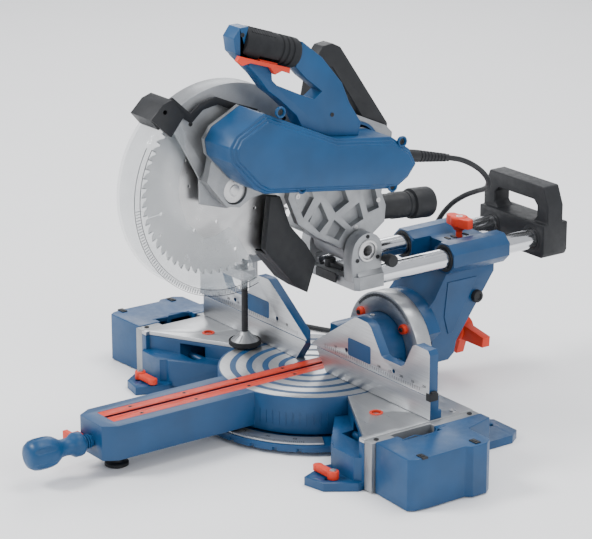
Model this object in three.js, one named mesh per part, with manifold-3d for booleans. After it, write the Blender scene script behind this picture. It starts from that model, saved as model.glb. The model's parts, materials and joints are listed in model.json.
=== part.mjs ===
// A sliding compound mitre saw for a bench top, as separate castings, covers, shafts and levers.
// Millimetres. +X is the operator's right, +Y is away from the operator, +Z is up.
// The origin is the turntable's pivot, on the bench. The fence face is the plane y = 0 and the
// saw blade turns in the plane x = 0.
import * as THREE from "three";
import { mergeVertices } from "three/addons/utils/BufferGeometryUtils.js";
import Module from "manifold-3d";

const wasm = await Module();
wasm.setup();

// ---- driving dimensions ----
const gap = 0.3; // between pieces that are bolted or rest together
const running = 0.5; // between pieces that turn or slide
const tableHeight = 74;
const tablePlate = 6;
const baseHalf = 274; // middle to the end of each base wing
const baseFront = -114;
const baseRear = 75;
const baseFoot = 6; // height of the wings' underside
const sideFrame = 16;
const blockWidth = 80; // each sliding end block
const blockTravel = 80;
const rodRadius = 6;
const rodLength = 120;
const turntableRadius = 135;
const mitreLimit = 50; // degrees each way
const armReach = 373; // turntable's middle to the arm's front end
const armHalf = 40;
const armBottom = 24;
const insertHalf = 21; // both kerf inserts together, half
const slotHalf = 3;
const insertThick = 4;
const fenceThick = 15;
const lowerFence = 33; // height above the table
const upperFence = 72; // height above the lower fence
const fenceEnd = 285;
const bladeRadius = 127;
const bladeThick = 2.2;
const toothCount = 60;
const chopY = 55; // the head's hinge
const chopZ = 252.6;
const chopArm = 243; // hinge to arbor
const raised = 29.4; // degrees above level, at rest
const upperGuard = bladeRadius + 19;
const lowerGuard = upperGuard + 5.5;
const railRadius = 15;
const railX = 46;
const railZ = 209;
const railEnd = 402;
const housingFront = 208;
const housingRear = 315;
const coverOuter = 112; // the belt cover's right face
const coverInner = 44;
const coverWall = 5;
const motorY = 50;
const motorZ = 395;
const motorRadius = 42;
const layY = -150; // the layshaft between belt and arbor gear
const layZ = 425;
const cordRadius = 4;
const coilX = -335;
const coilY = 150;

// ---- sizes that follow ----
const rad = Math.PI / 180;
const arborY = chopY - chopArm * Math.cos(raised * rad);
const arborZ = chopZ + chopArm * Math.sin(raised * rad);
const plateUnder = tableHeight - tablePlate;
const lowerTop = tableHeight + lowerFence;
const blockX = baseHalf + sideFrame + 2 * gap;

// ---- shape helpers ----
function solidOf(geometry, matrix) {
  const g = geometry.index ? geometry.toNonIndexed() : geometry.clone();
  for (const name of ["normal", "uv"]) g.deleteAttribute(name);
  if (matrix) g.applyMatrix4(matrix);
  const merged = mergeVertices(g, 1e-4);
  const flip = matrix && matrix.determinant() < 0;
  const index = merged.index.array;
  const faces = [];
  for (let i = 0; i < index.length; i += 3) {
    const [a, b, c] = [index[i], index[i + 1], index[i + 2]];
    if (a !== b && b !== c && c !== a) faces.push(a, flip ? c : b, flip ? b : c);
  }
  const vertProperties = merged.attributes.position.array;
  const mesh = new wasm.Mesh({ numProp: 3, vertProperties, triVerts: new Uint32Array(faces) });
  return new wasm.Manifold(mesh);
}

const join = (...pieces) => pieces.reduce((all, piece) => all.add(piece));
const cut = (solid, ...tools) => tools.reduce((left, tool) => left.subtract(tool), solid);
const vec = (p) => new THREE.Vector3(...p);

// Columns that carry an outline's two axes and its depth onto x, y and z.
const frames = {
  x: [[0, 1, 0], [0, 0, 1], [1, 0, 0]],
  y: [[1, 0, 0], [0, 0, 1], [0, 1, 0]],
  z: [[1, 0, 0], [0, 1, 0], [0, 0, 1]],
};

// An outline across one axis, filled from one place on that axis to another.
function prism(axis, outline, from, to) {
  const shape = new THREE.Shape(outline.map(([a, b]) => new THREE.Vector2(a, b)));
  const low = Math.min(from, to);
  const depth = Math.abs(to - from);
  const g = new THREE.ExtrudeGeometry(shape, { depth, bevelEnabled: false });
  g.translate(0, 0, low);
  return solidOf(g, new THREE.Matrix4().makeBasis(...frames[axis].map(vec)));
}

function box(x0, x1, y0, y1, z0, z1) {
  const g = new THREE.BoxGeometry(Math.abs(x1 - x0), Math.abs(y1 - y0), Math.abs(z1 - z0));
  g.translate((x0 + x1) / 2, (y0 + y1) / 2, (z0 + z1) / 2);
  return solidOf(g);
}

function rod(from, to, radius, sides = 24, endRadius = radius) {
  const a = vec(from);
  const b = vec(to);
  const along = b.clone().sub(a);
  const g = new THREE.CylinderGeometry(endRadius, radius, along.length(), sides);
  const turn = new THREE.Quaternion().setFromUnitVectors(vec([0, 1, 0]), along.clone().normalize());
  const at = a.add(b).multiplyScalar(0.5);
  return solidOf(g, new THREE.Matrix4().compose(at, turn, vec([1, 1, 1])));
}

const rodX = (x0, x1, y, z, radius, sides) => rod([x0, y, z], [x1, y, z], radius, sides);
const rodY = (x, y0, y1, z, radius, sides) => rod([x, y0, z], [x, y1, z], radius, sides);
const rodZ = (x, y, z0, z1, radius, sides) => rod([x, y, z0], [x, y, z1], radius, sides);

// Points on an arc, both ends included, in degrees from the first axis towards the second.
function arc(a, b, radius, from, to, steps) {
  return Array.from({ length: steps + 1 }, (_, i) => {
    const t = (from + ((to - from) * i) / steps) * rad;
    return [a + radius * Math.cos(t), b + radius * Math.sin(t)];
  });
}

// An outline moved outwards by a distance, or inwards when it is negative.
function grow(outline, distance) {
  const area = outline.reduce((sum, [a, b], i) => {
    const [c, d] = outline[(i + 1) % outline.length];
    return sum + a * d - c * b;
  }, 0);
  const side = Math.sign(area) * distance;
  return outline.map((point, i) => {
    const before = outline.at(i - 1);
    const after = outline[(i + 1) % outline.length];
    const u = new THREE.Vector2(point[0] - before[0], point[1] - before[1]).normalize();
    const v = new THREE.Vector2(after[0] - point[0], after[1] - point[1]).normalize();
    const scale = side / (1 + u.dot(v));
    return [point[0] + (u.y + v.y) * scale, point[1] - (u.x + v.x) * scale];
  });
}

// A rectangle with its four corners cut off.
function chamfered(a0, a1, b0, b1, c) {
  return [
    [a0 + c, b0], [a1 - c, b0], [a1, b0 + c], [a1, b1 - c],
    [a1 - c, b1], [a0 + c, b1], [a0, b1 - c], [a0, b0 + c],
  ];
}

const mirrored = (outline, side) => outline.map(([x, b]) => [x * side, b]);

// ---- finishes ----
const finish = (color, roughness, metalness = 0) =>
  new THREE.MeshStandardMaterial({ color, roughness, metalness });
const blue = finish(0x1c5a92, 0.45);
const orange = finish(0xe8421f, 0.45);
const black = finish(0x17191b, 0.6);
const rubber = finish(0x202325, 0.85);
const castAluminium = finish(0xa9adb0, 0.5, 0.7);
const machined = finish(0xb9bcbd, 0.4, 0.8);
const chrome = finish(0xd5d8da, 0.15, 1);
const steel = finish(0xc3c6c8, 0.3, 1);
const darkGrey = finish(0x4c4f52, 0.6);
const clear = finish(0xdfe8ec, 0.15);
clear.transparent = true;
clear.opacity = 0.35;

// ---- the assembly tree: each group stands at its joint ----
const saw = new THREE.Group();
function groupAt(parent, x, y, z) {
  const group = new THREE.Group();
  group.userData.at = vec([x, y, z]);
  group.position.copy(group.userData.at).sub(parent.userData.at ?? vec([0, 0, 0]));
  parent.add(group);
  return group;
}
const base = groupAt(saw, 0, 0, 0);
const turntable = groupAt(base, 0, 0, 0);
const tilting = groupAt(turntable, 0, 0, tableHeight);
const carriage = groupAt(tilting, 0, chopY, railZ);
const head = groupAt(carriage, 0, chopY, chopZ);
const spindle = groupAt(head, 0, arborY, arborZ);

// Makes the named piece from a solid in the object's own frame.
function piece(name, group, solid, material) {
  const made = solid.getMesh();
  const g = new THREE.BufferGeometry();
  g.setAttribute("position", new THREE.BufferAttribute(new Float32Array(made.vertProperties), 3));
  g.setIndex(new THREE.BufferAttribute(made.triVerts, 1));
  const at = group.userData.at;
  g.translate(-at.x, -at.y, -at.z);
  g.computeVertexNormals();
  const mesh = new THREE.Mesh(g, material);
  mesh.name = name;
  group.add(mesh);
}

// ---- base ----
// The plan that the turning arm sweeps between its two mitre limits.
function sweptByArm(clearance) {
  const edge = (side, r) => {
    const t = mitreLimit * rad;
    const half = armHalf + clearance;
    return [side * (r * Math.sin(t) + half * Math.cos(t)), half * Math.sin(t) - r * Math.cos(t)];
  };
  return [edge(1, -20), edge(1, 700), edge(-1, 700), edge(-1, -20)];
}

// One wing's plan: a block whose inner corners clear the turntable, the arm and the rear bracket.
const wingInner = 60;
const bracketSweep = 187; // plan radius that the rear bracket and column sweep
function wing(side, from, to, clearance) {
  const plan = mirrored(
    [
      [wingInner, baseFront], [baseHalf, baseFront],
      [baseHalf, baseRear], [wingInner, baseRear],
    ],
    side,
  );
  const around = turntableRadius + clearance;
  const sweep = side > 0 ? [0, 700] : [-700, 0];
  return cut(
    prism("z", plan, from, to),
    rodZ(0, 0, from - 1, to + 1, around, 64),
    prism("z", sweptByArm(clearance), from - 1, to + 1),
    rodZ(0, 0, from - 1, to + 1, bracketSweep, 40).intersect(box(
      ...sweep, fenceThick + 3, 700, from - 2, to + 2,
    )),
  );
}

// Above the front step the wing is cut back to a slanting edge.
const stepTop = 46;
const wingEdge = (side) =>
  prism("z", mirrored([[110, -21], [263, -107], [263, -130], [110, -130]], side), stepTop, tableHeight + 1);

// The casting is open underneath, in cells between ribs.
const wingCells = [[182, 221], [228, 266]];
function wingUnder(side) {
  const rows = [[-82, -38], [-31, 8], [15, 62]];
  const cells = wingCells.flatMap(([x0, x1]) =>
    rows.map(([y0, y1]) => box(side * x0, side * x1, y0, y1, baseFoot - 1, plateUnder - 6)),
  );
  return join(...cells);
}

const footThick = 12;
const frontFoot = [
  [196, -113], [194, -124], [211, -167], [245, -160], [272, -122], [272, -100], [200, -100],
];
const rearFoot = [[172, 70], [172, 143], [199, 179], [250, 178], [262, 160], [262, 70]];
const frontStep = [[214, -122], [262, -122], [270, -113], [270, -100], [208, -100], [208, -114]];
const scaleRadius = 168;
const scaleTop = 19;
const rodPlaces = [-60, 35];
const rodZ0 = 38;

function baseSide(side) {
  const bores = rodPlaces.map((y) =>
    rodX(side * (blockX - rodLength - 4), side * (baseHalf + 1), y, rodZ0, rodRadius + running, 12),
  );
  const foot = (plan) => prism("z", mirrored(plan, side), 0, footThick);
  const holes = [[222, -140], [236, -147], [214, 160]].map(([x, y]) =>
    rodZ(side * x, y, -1, footThick + 1, 4, 12),
  );
  const body = join(
    cut(wing(side, baseFoot, plateUnder - gap, running + 1), wingEdge(side)),
    foot(frontFoot),
    foot(rearFoot),
    prism("z", mirrored(frontStep, side), 1, stepTop),
  );
  return cut(body, wingUnder(side), ...bores, ...holes);
}

const ring = rodZ(0, 0, baseFoot, scaleTop - 3, scaleRadius, 64);
const ringFront = cut(ring, rodZ(0, 0, 0, 40, scaleRadius - 60, 40));
const tie = box(-baseHalf + 70, baseHalf - 70, -45, 45, baseFoot, scaleTop - 3);
const boss = rodZ(0, 0, 0, scaleTop - 3, 42, 36);
const spokes = box(-scaleRadius + 6, scaleRadius - 6, -16, 16, baseFoot, scaleTop - 3);
const keel = box(-16, 16, -scaleRadius + 6, scaleRadius - 6, baseFoot, scaleTop - 3);
const detents = Array.from({ length: 9 }, (_, i) => {
  const t = (-48 + 12 * i) * rad;
  const [x, y] = [scaleRadius * Math.sin(t), -scaleRadius * Math.cos(t)];
  return rodZ(x, y, 0, scaleTop - 8, 4, 6);
});
const pivotBore = rodZ(0, 0, scaleTop - 8, scaleTop + 10, 12 + running, 24);
const baseCasting = cut(
  join(baseSide(1), baseSide(-1), ringFront, boss, spokes, keel, tie),
  pivotBore,
  ...detents,
);
piece("base_casting", base, baseCasting, blue);

for (const [name, side] of [["left", -1], ["right", 1]]) {
  const bolt = rodZ(side * 205, -40, plateUnder - 1, tableHeight + 1, 7, 20);
  const plate = cut(wing(side, plateUnder, tableHeight, running), wingEdge(side), bolt);
  piece(`${name}_table_plate`, base, plate, machined);

  const frameAt = side * (baseHalf + gap);
  const frameOut = side * (baseHalf + gap + sideFrame);
  const frameBody = box(frameAt, frameOut, baseFront, baseRear, 2, tableHeight - 1);
  const pocket = box(side * (baseHalf + 5), side * (blockX + 1), -74, -4, 52, tableHeight + 1);
  const frameBores = rodPlaces.map((y) =>
    rodX(side * (baseHalf - 1), side * (blockX + 1), y, rodZ0, rodRadius + running, 12),
  );
  piece(`${name}_side_frame`, base, cut(frameBody, pocket, ...frameBores), castAluminium);
}

// ---- fences ----
// The two halves stand apart, and their ends are cut back for the blade at full mitre.
function bladeSweep(clearance) {
  const back = fenceThick + 6;
  const spread = (back + 1) * Math.tan(mitreLimit * rad);
  const near = clearance - Math.tan(mitreLimit * rad);
  return prism(
    "z",
    [[near, -1], [clearance + spread, back], [-clearance - spread, back], [-near, -1]],
    tableHeight - 1,
    tableHeight + 140,
  );
}
const bladeWay = bladeSweep(2.4);

function lowerHalf(side, tip, end) {
  const face = mirrored(
    [
      [tip, lowerTop - 4], [tip, lowerTop], [end, lowerTop], [end, tableHeight + gap],
      [tip + 22, tableHeight + gap],
    ],
    side,
  );
  const toe = box(side * (end - 100), side * end, fenceThick - 4, fenceThick + 5, tableHeight + gap, 86);
  return cut(join(prism("y", face, 0, fenceThick), toe), bladeWay);
}
piece("left_lower_fence", base, lowerHalf(-1, 14, fenceEnd - 8), machined);
piece("right_lower_fence", base, lowerHalf(1, 14, fenceEnd - 12), machined);

// Upper halves slide outwards for bevel cuts; a notch is left for the clamp.
const upperBottom = lowerTop + running;
const upperTop = lowerTop + upperFence;
function upperHalf(side, tip, end) {
  const face = mirrored(
    [
      [tip, upperBottom], [tip, upperBottom + 3], [102, upperTop - 4], [108, upperTop - 2],
      [132, upperTop - 3], [140, upperTop - 8], [164, 136], [170, 134], [208, 134], [215, 138],
      [233, upperTop - 8], [239, upperTop - 5], [end - 4, upperTop - 6], [end, upperTop - 12],
      [end, upperBottom],
    ],
    side,
  );
  const bolts = [84, 192].map((x) => rodY(side * x, -1, fenceThick + 1, 122, 3, 12));
  return cut(prism("y", face, 0, fenceThick), bladeWay, ...bolts);
}
piece("left_upper_fence", base, upperHalf(-1, 11, fenceEnd), blue);
piece("right_upper_fence", base, upperHalf(1, 3, fenceEnd - 15), blue);

// ---- mitre scale ----
const scaleArc = (inner, outer) => [
  ...arc(0, 0, outer, 210, 330, 30),
  ...arc(0, 0, inner, 330, 210, 30),
];
piece(
  "mitre_scale",
  base,
  prism("z", scaleArc(turntableRadius + 6, scaleRadius - 2), scaleTop - 3 + gap, scaleTop),
  machined,
);

// ---- sliding end blocks, each on two rods ----
for (const [name, side] of [["left", -1], ["right", 1]]) {
  const outline = [
    [blockX, -108], [blockX + blockWidth - 6, -112], [blockX + blockWidth, -104],
    [blockX + blockWidth + 3, -84], [blockX + blockWidth + 2, -20], [blockX + blockWidth + 9, -12],
    [blockX + blockWidth + 9, 12], [blockX + blockWidth, 24], [blockX + 34, 26], [blockX + 20, baseRear],
    [blockX, baseRear],
  ];
  const body = prism("z", mirrored(outline, side), 1, tableHeight);
  const under = [[-98, -48], [-40, 12]].map(([y0, y1]) =>
    box(side * (blockX + 8), side * (blockX + blockWidth - 8), y0, y1, 0, tableHeight - 8),
  );
  const rods = rodPlaces.map((y) =>
    rodX(side * (blockX - rodLength), side * (blockX + 12), y, rodZ0, rodRadius, 12),
  );
  const grip = box(side * (blockX - 1), side * (blockX + 16), -70, -8, 56, tableHeight + 1);
  piece(`${name}_extension`, base, join(cut(body, ...under, grip), ...rods), blue);

  // Cam lever on the front foot that clamps the rods.
  const hubX = side * 240;
  const lever = cut(
    join(
      rodZ(hubX, -140, footThick + gap, footThick + 12, 8, 20),
      box(hubX - 34 * side, hubX, -146, -134, footThick + 2, footThick + 10),
      rodZ(hubX - 34 * side, -140, footThick + 2, footThick + 10, 7, 16),
    ),
    rodZ(hubX, -140, footThick, footThick + 14, 3, 12),
  );
  piece(`${name}_cam_lever`, base, lever, orange);
}

// ---- clamp ----
const clampX = -125;
const clampY = -29;
const clampPostX = -192;
const clampPostY = 34;
const clampZ = 187;
const clampArmHalf = 7;
piece(
  "clamp_post",
  base,
  join(
    rodZ(clampPostX, clampPostY, tableHeight + gap, clampZ + 26, 7, 20),
    rodZ(clampPostX, clampPostY, tableHeight + gap, tableHeight + 10, 12, 20),
  ),
  steel,
);
const clampPlan = [
  [clampPostX - 15, clampPostY + 15], [clampPostX - 15, clampY - 2], [clampPostX - 6, clampY - 12],
  [clampX + 10, clampY - 13], [clampX + 13, clampY - 10], [clampX + 13, clampY + 10],
  [clampX + 10, clampY + 13], [clampPostX + 24, clampY + 12], [clampPostX + 15, clampY + 22],
  [clampPostX + 15, clampPostY + 15],
];
piece(
  "clamp_arm",
  base,
  cut(
    prism("z", clampPlan, clampZ - clampArmHalf, clampZ + clampArmHalf),
    rodZ(clampPostX, clampPostY, clampZ - 12, clampZ + 12, 7 + running, 20),
    rodZ(clampX, clampY, clampZ - 12, clampZ + 12, 5 + running, 16),
  ),
  castAluminium,
);
piece(
  "clamp_screw",
  base,
  join(
    rodZ(clampX, clampY, 90, clampZ + 22, 5, 16),
    rod([clampX, clampY, 82], [clampX, clampY, 93], 22, 32, 7),
    rodZ(clampX, clampY, 77, 82.5, 24, 32),
  ),
  black,
);
const knobZ = clampZ + 22;
piece(
  "clamp_knob",
  base,
  cut(
    rodY(clampX + 6, clampY - 22, clampY - 8, knobZ, 12, 24),
    rodY(clampX + 6, clampY - 23, clampY - 18, knobZ, 6, 16),
  ),
  black,
);

// ---- turntable, its arm and the kerf inserts ----
const skirtBottom = scaleTop + 1;
const disc = cut(
  rodZ(0, 0, skirtBottom, tableHeight, turntableRadius, 64),
  rodZ(0, 0, skirtBottom - 1, tableHeight - 12, turntableRadius - 8, 48),
);
const hub = rodZ(0, 0, scaleTop - 3 + gap, tableHeight - 4, 34, 36);
const spigot = rodZ(0, 0, scaleTop - 6, scaleTop + 4, 12, 24);
const armPlan = [
  [armHalf, -70], [armHalf, -armReach + 20], [armHalf - 12, -armReach],
  [-armHalf + 12, -armReach], [-armHalf, -armReach + 20], [-armHalf, -70],
];
const armOuter = prism("z", armPlan, armBottom, tableHeight);
const armInner = join(
  box(-armHalf + 6, armHalf - 6, -armReach + 14, -turntableRadius - 20, armBottom - 1, tableHeight - 16),
  box(-armHalf + 6, armHalf - 6, -turntableRadius - 12, -90, armBottom - 1, tableHeight - 16),
);
const slotRear = 38;
const slotFront = -armReach + 24;
const insertBed = tableHeight - insertThick;
const pan = box(
  -insertHalf - gap, insertHalf + gap, slotFront - gap, slotRear + gap, insertBed, tableHeight + 1,
);
const well = box(-9, 9, slotFront + 8, slotRear - 6, tableHeight - 14, tableHeight);
const rearPad = prism(
  "z",
  [[-58, 60], [-30, 128], [30, 128], [58, 60]],
  skirtBottom,
  tableHeight - 6,
);
const bevelZ = tableHeight;
const turntableBody = cut(join(disc, hub, spigot, armOuter, rearPad), armInner, pan, well);
const knobHole = rodY(0, -armReach - 2, -armReach + 40, 45, 8 + running, 20);
piece("turntable", turntable, cut(turntableBody, knobHole), blue);

for (const [name, side] of [["left", -1], ["right", 1]]) {
  // The slot widens downwards, so a tilted blade still passes.
  const section = mirrored(
    [[slotHalf, tableHeight - 0.2], [insertHalf, tableHeight - 0.2], [insertHalf, insertBed + gap],
      [slotHalf + 4.5, insertBed + gap]],
    side,
  );
  const screws = [-300, -210, -120, -40].map((y) =>
    rodZ(side * (insertHalf - 6), y, tableHeight - 3, tableHeight + 1, 3, 8),
  );
  piece(`${name}_kerf_insert`, turntable, cut(prism("y", section, slotFront, slotRear), ...screws), orange);
}

// Mitre lock: a shaft in the arm with a big handle knob.
const lockZ = 45;
const knobProfile = [
  [0, 0], [15, 0], [17, 4], [17, 12], [12, 20], [12, 34], [20, 46], [22, 58], [22, 74], [17, 84], [0, 86],
];
const knobGeometry = new THREE.LatheGeometry(knobProfile.map(([r, h]) => new THREE.Vector2(r, h)), 20);
const knobPlace = new THREE.Matrix4().makeRotationX(Math.PI).setPosition(0, -armReach - 16, lockZ);
piece(
  "mitre_lock_knob",
  turntable,
  join(
    solidOf(knobGeometry, knobPlace),
    rodY(0, -armReach - 18, -armReach + 26, lockZ, 8, 20),
  ),
  blue,
);
// Detent lever beside the knob's shaft.
piece(
  "detent_lever",
  turntable,
  join(
    box(-34, -19, -armReach - 16, -armReach - gap, lockZ - 12, lockZ + 4),
    box(-36, -19, -armReach - 24, -armReach - 16, lockZ - 4, lockZ + 9),
  ),
  orange,
);
piece(
  "front_foot",
  turntable,
  join(
    rodZ(0, -armReach + 40, 0.3, 6, 17, 28),
    rod([0, -armReach + 40, 6], [0, -armReach + 40, armBottom + 12], 10, 20, 6),
  ),
  black,
);

// Rear bracket that carries the bevel bearing.
const bearingFront = 62;
const bearingRear = 158;
const bearingFace = 138; // bottom of the bevel bearing's bore
const bracketPlan = [
  [-10, 42], [-54, 96], [-54, bearingRear], [54, bearingRear], [54, 96], [10, 42],
];
const bracketTube = prism("z", bracketPlan, scaleTop + 1, bevelZ + 60).intersect(
  rodY(0, 30, bearingRear, bevelZ, 54, 48),
);
const bracketFoot = box(-46, 46, 100, bearingRear, skirtBottom, bevelZ);
const keepTurntable = [
  rodZ(0, 0, 0, tableHeight + gap, turntableRadius + gap + 0.2, 64),
  prism("z", grow([[-58, 60], [-30, 128], [30, 128], [58, 60]], gap), 0, tableHeight - 6 + gap),
];
piece(
  "bevel_bracket",
  turntable,
  cut(
    join(bracketTube, bracketFoot), ...keepTurntable,
    rodY(0, bearingFace, bearingRear + 1, bevelZ, 30, 32),
  ),
  blue,
);
const scaleOuter = 84;
piece(
  "bevel_scale",
  turntable,
  prism(
    "y",
    [...arc(0, bevelZ, scaleOuter, -20, 200, 32), ...arc(0, bevelZ, 54 + gap, 200, -20, 32)],
    bearingRear - 26,
    bearingRear,
  ),
  machined,
);

// ---- tilting column and the slide housing ----
const columnFront = bearingRear + 1.5;
const columnSide = [
  [columnFront, bevelZ + 48], [columnFront, bevelZ - 18], [197, bevelZ - 23], [216, 51], [227, 60],
  [231, 78], [262, 120], [301, 174], [301, 186], [210, 186], [188, 150],
];
const flange = join(
  rodY(0, columnFront, columnFront + 22, bevelZ, 52, 40),
  prism(
    "y", [...arc(0, bevelZ, 82, 25, 155, 20), [-40, bevelZ], [40, bevelZ]], columnFront,
    columnFront + 22,
  ),
);
const columnBody = prism("x", columnSide, -50, 50);
const spindleTube = rodY(0, bearingFace + 1, columnFront + 4, bevelZ, 29.2, 32);
const columnHollow = prism("x", [[212, 100], [224, 90], [276, 168], [288, 190], [216, 190]], -38, 38);
const leverBore = rodY(0, bearingFront, 290, bevelZ, 9 + running, 20);
piece(
  "tilt_column",
  tilting,
  cut(join(columnBody, flange, spindleTube), columnHollow, leverBore),
  blue,
);

const barrel = arc(0, 0, 24, 22.5, 337.5, 7);
const barrelAt = (x) => barrel.map(([a, b]) => [x + a, railZ + b]);
const web = prism(
  "y",
  [
    [-railX, railZ - 22], [railX, railZ - 22], [railX, railZ + 19], [18, railZ + 10], [-18, railZ + 10],
    [-railX, railZ + 19],
  ],
  housingFront,
  housingRear,
);
const bores = [-railX, railX].map((x) =>
  rodY(x, housingFront - 12, housingRear + 1, railZ, railRadius + running, 24),
);
piece(
  "slide_housing",
  tilting,
  cut(
    join(
      prism("y", barrelAt(railX), housingFront, housingRear),
      prism("y", barrelAt(-railX), housingFront - 4, housingRear),
      web,
    ),
    ...bores,
    box(-24, 24, housingFront - 10, housingFront + 30, railZ - 14, railZ + 40),
    rodZ(0, housingFront + 66, railZ - 12, railZ + 20, 5 + running, 16),
  ),
  blue,
);
const lockKnobY = housingFront + 66;
piece(
  "slide_lock_knob",
  tilting,
  join(
    rodZ(0, lockKnobY, railZ - 10, railZ + 20, 5, 16),
    rod([0, lockKnobY, railZ + 18], [0, lockKnobY, railZ + 28], 7, 20, 12),
    prism(
      "z",
      [[
        -26, lockKnobY - 9,
      ], [0, lockKnobY - 14], [26, lockKnobY - 9], [26, lockKnobY + 9], [0, lockKnobY + 14],
        [-26, lockKnobY + 9]],
      railZ + 26,
      railZ + 42,
    ),
  ),
  orange,
);

// Bevel lock: a shaft through the column with a three-armed lever behind it.
const leverY = 272;
const leverArm = (angle, reach, wide) => {
  const t = angle * rad;
  const [ux, uz] = [Math.cos(t), Math.sin(t)];
  const outline = [
    [-uz * wide, ux * wide], [uz * wide, -ux * wide],
    [ux * reach + uz * wide * 0.6, uz * reach - ux * wide * 0.6],
    [ux * reach - uz * wide * 0.6, uz * reach + ux * wide * 0.6],
  ].map(([a, b]) => [a, bevelZ + b]);
  return prism("y", outline, leverY, leverY + 14);
};
piece(
  "bevel_lever",
  tilting,
  join(
    rodY(0, bearingFace + 3, leverY + 2, bevelZ, 9, 20),
    rodY(0, leverY - 4, leverY + 20, bevelZ, 18, 24),
    leverArm(80, 52, 10),
    leverArm(-5, 62, 13),
    leverArm(-100, 38, 14),
  ),
  orange,
);

// ---- carriage: two rails joined at both ends ----
const blockFront = 31.6;
const blockRear = 80.6;
const blockLow = railZ - 12;
for (const [name, side] of [["left", -1], ["right", 1]])
  piece(
    `${name}_rail`,
    carriage,
    rodY(side * railX, blockFront + 8, railEnd, railZ, railRadius, 24),
    chrome,
  );
const blockPlan = [
  [-62, blockFront + 12], [-56, blockFront], [60, blockFront], [66, blockFront + 6],
  [66, blockRear], [-66, blockRear], [-66, blockFront + 22],
];
const ear = (side) => {
  const outline = [
    [chopY - 26, railZ], [chopY - 28, chopZ - 8], ...arc(chopY, chopZ, 26, 165, 15, 8), [chopY + 26, railZ],
  ];
  return prism("x", outline, side * 40, side * 60);
};
const railSockets = [-railX, railX].map((x) =>
  rodY(x, blockFront + 8 - gap, blockRear + 2, railZ, railRadius + gap, 24),
);
const socketWalls = [-railX, railX].map((x) => rodY(x, blockFront + 5, blockRear, railZ, 20, 24));
piece(
  "carriage_block",
  carriage,
  cut(
    join(prism("z", blockPlan, blockLow, blockLow + 20), ...socketWalls, ear(1), ear(-1)),
    ...railSockets,
    rodX(-70, 70, chopY, chopZ, 12 + gap, 24),
    box(-38, 38, blockFront - 2, blockRear + 2, blockLow + 14, chopZ + 30),
    box(-90, 90, blockFront - 5, blockRear + 5, 150, blockLow),
  ),
  castAluminium,
);
piece(
  "hinge_shaft",
  carriage,
  cut(rodX(-61, 61, chopY, chopZ, 12, 24), rodX(-70, 70, chopY, chopZ, 8, 16)),
  steel,
);
piece(
  "depth_stop",
  carriage,
  join(
    rodZ(-18, 48, blockLow + 14 + gap, blockLow + 26, 8, 20),
    box(-18, 16, 43, 53, blockLow + 16, blockLow + 22),
  ),
  black,
);
piece(
  "lock_pin",
  carriage,
  join(
    rodX(60 + gap, 74, chopY + 30, chopZ - 16, 6, 16),
    rodX(70, 82, chopY + 30, chopZ - 16, 9, 12),
  ),
  black,
);

// Rear handle across the rails.
const handleFront = 376;
const handleRear = 424;
const handleTop = 291;
const handleOuter = [
  [-70, railZ - 26], [70, railZ - 26], [74, railZ - 18], [74, 262], [62, handleTop], [-62, handleTop],
  [-74, 262], [-74, railZ - 18],
];
const handleHole = chamfered(-48, 48, railZ + 26, handleTop - 24, 8);
const handleSlim = join(
  box(-80, 80, handleRear - 10, handleRear + 2, railZ + 26, handleTop + 2),
  box(-80, 80, handleFront - 2, handleFront + 8, railZ + 26, handleTop + 2),
);
piece(
  "rear_handle",
  carriage,
  cut(
    prism("y", handleOuter, handleFront, handleRear),
    prism("y", handleHole, handleFront - 1, handleRear + 1),
    handleSlim,
    ...[-railX, railX].map((x) => rodY(x, handleFront - 1, railEnd + gap, railZ, railRadius + gap, 24)),
  ),
  black,
);

// ---- head: belt cover, gear case, motor ----
const coverOutline = [
  [-211, 454], [-200, 470], [-154, 493], [-34, 440], [61, 428], [93, 406], [106, 382], [92, 365],
  [69, 352], [-154, 382], [-171, 393], [-208, 433],
];
const coverBevel = 8;
const coverSteps = [
  prism("x", coverOutline, coverInner, coverOuter - coverBevel),
  prism("x", grow(coverOutline, -4), coverOuter - coverBevel - 1, coverOuter - coverBevel / 2),
  prism("x", grow(coverOutline, -8), coverOuter - coverBevel, coverOuter),
];
const coverCavity = prism("x", grow(coverOutline, -coverWall), coverInner - 1, coverOuter - coverBevel - 4);
piece("belt_cover", head, cut(join(...coverSteps), coverCavity), blue);

const wallIn = -18; // the upper guard's two side faces
const wallOut = 17;
const guardWall = 3;
const lowerFar = wallIn - 4;
const lowerNear = wallOut + 2.5;
const lowerWall = 2.5;
const strapX0 = lowerNear + lowerWall + 3;
const strapX1 = strapX0 + 3.5;
const strap = [
  [-262, 504], [-252, 516], [-222, 488], [-205, 500], [-180, 505], [-150, 492], [-112, 478], [-116, 468],
  [-152, 482], [-178, 494], [-202, 490], [-221, 474], [-232, 482],
];
const plateInner = 37.5;
const plateOuter = coverInner - gap;
const gearFace = 26;
const noseOutline = [
  [-203, 391], [-187, 408], [-150, 418], [-122, 398], [-119, 372], [-138, 352], [-163, 347], [-182, 364],
];
const caseOutline = [
  [-203, 391], [-196, 420], [-191, 441], [-137, 482], [-108, 474], [-98, 400], [-114, 366], [-150, 347],
  [-172, 352],
];
const arborBore = (x0, x1, radius) => rodX(x0, x1, arborY, arborZ, radius, 20);
const layBore = (x0, x1, radius) => rodX(x0, x1, layY, layZ, radius, 24);
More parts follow.
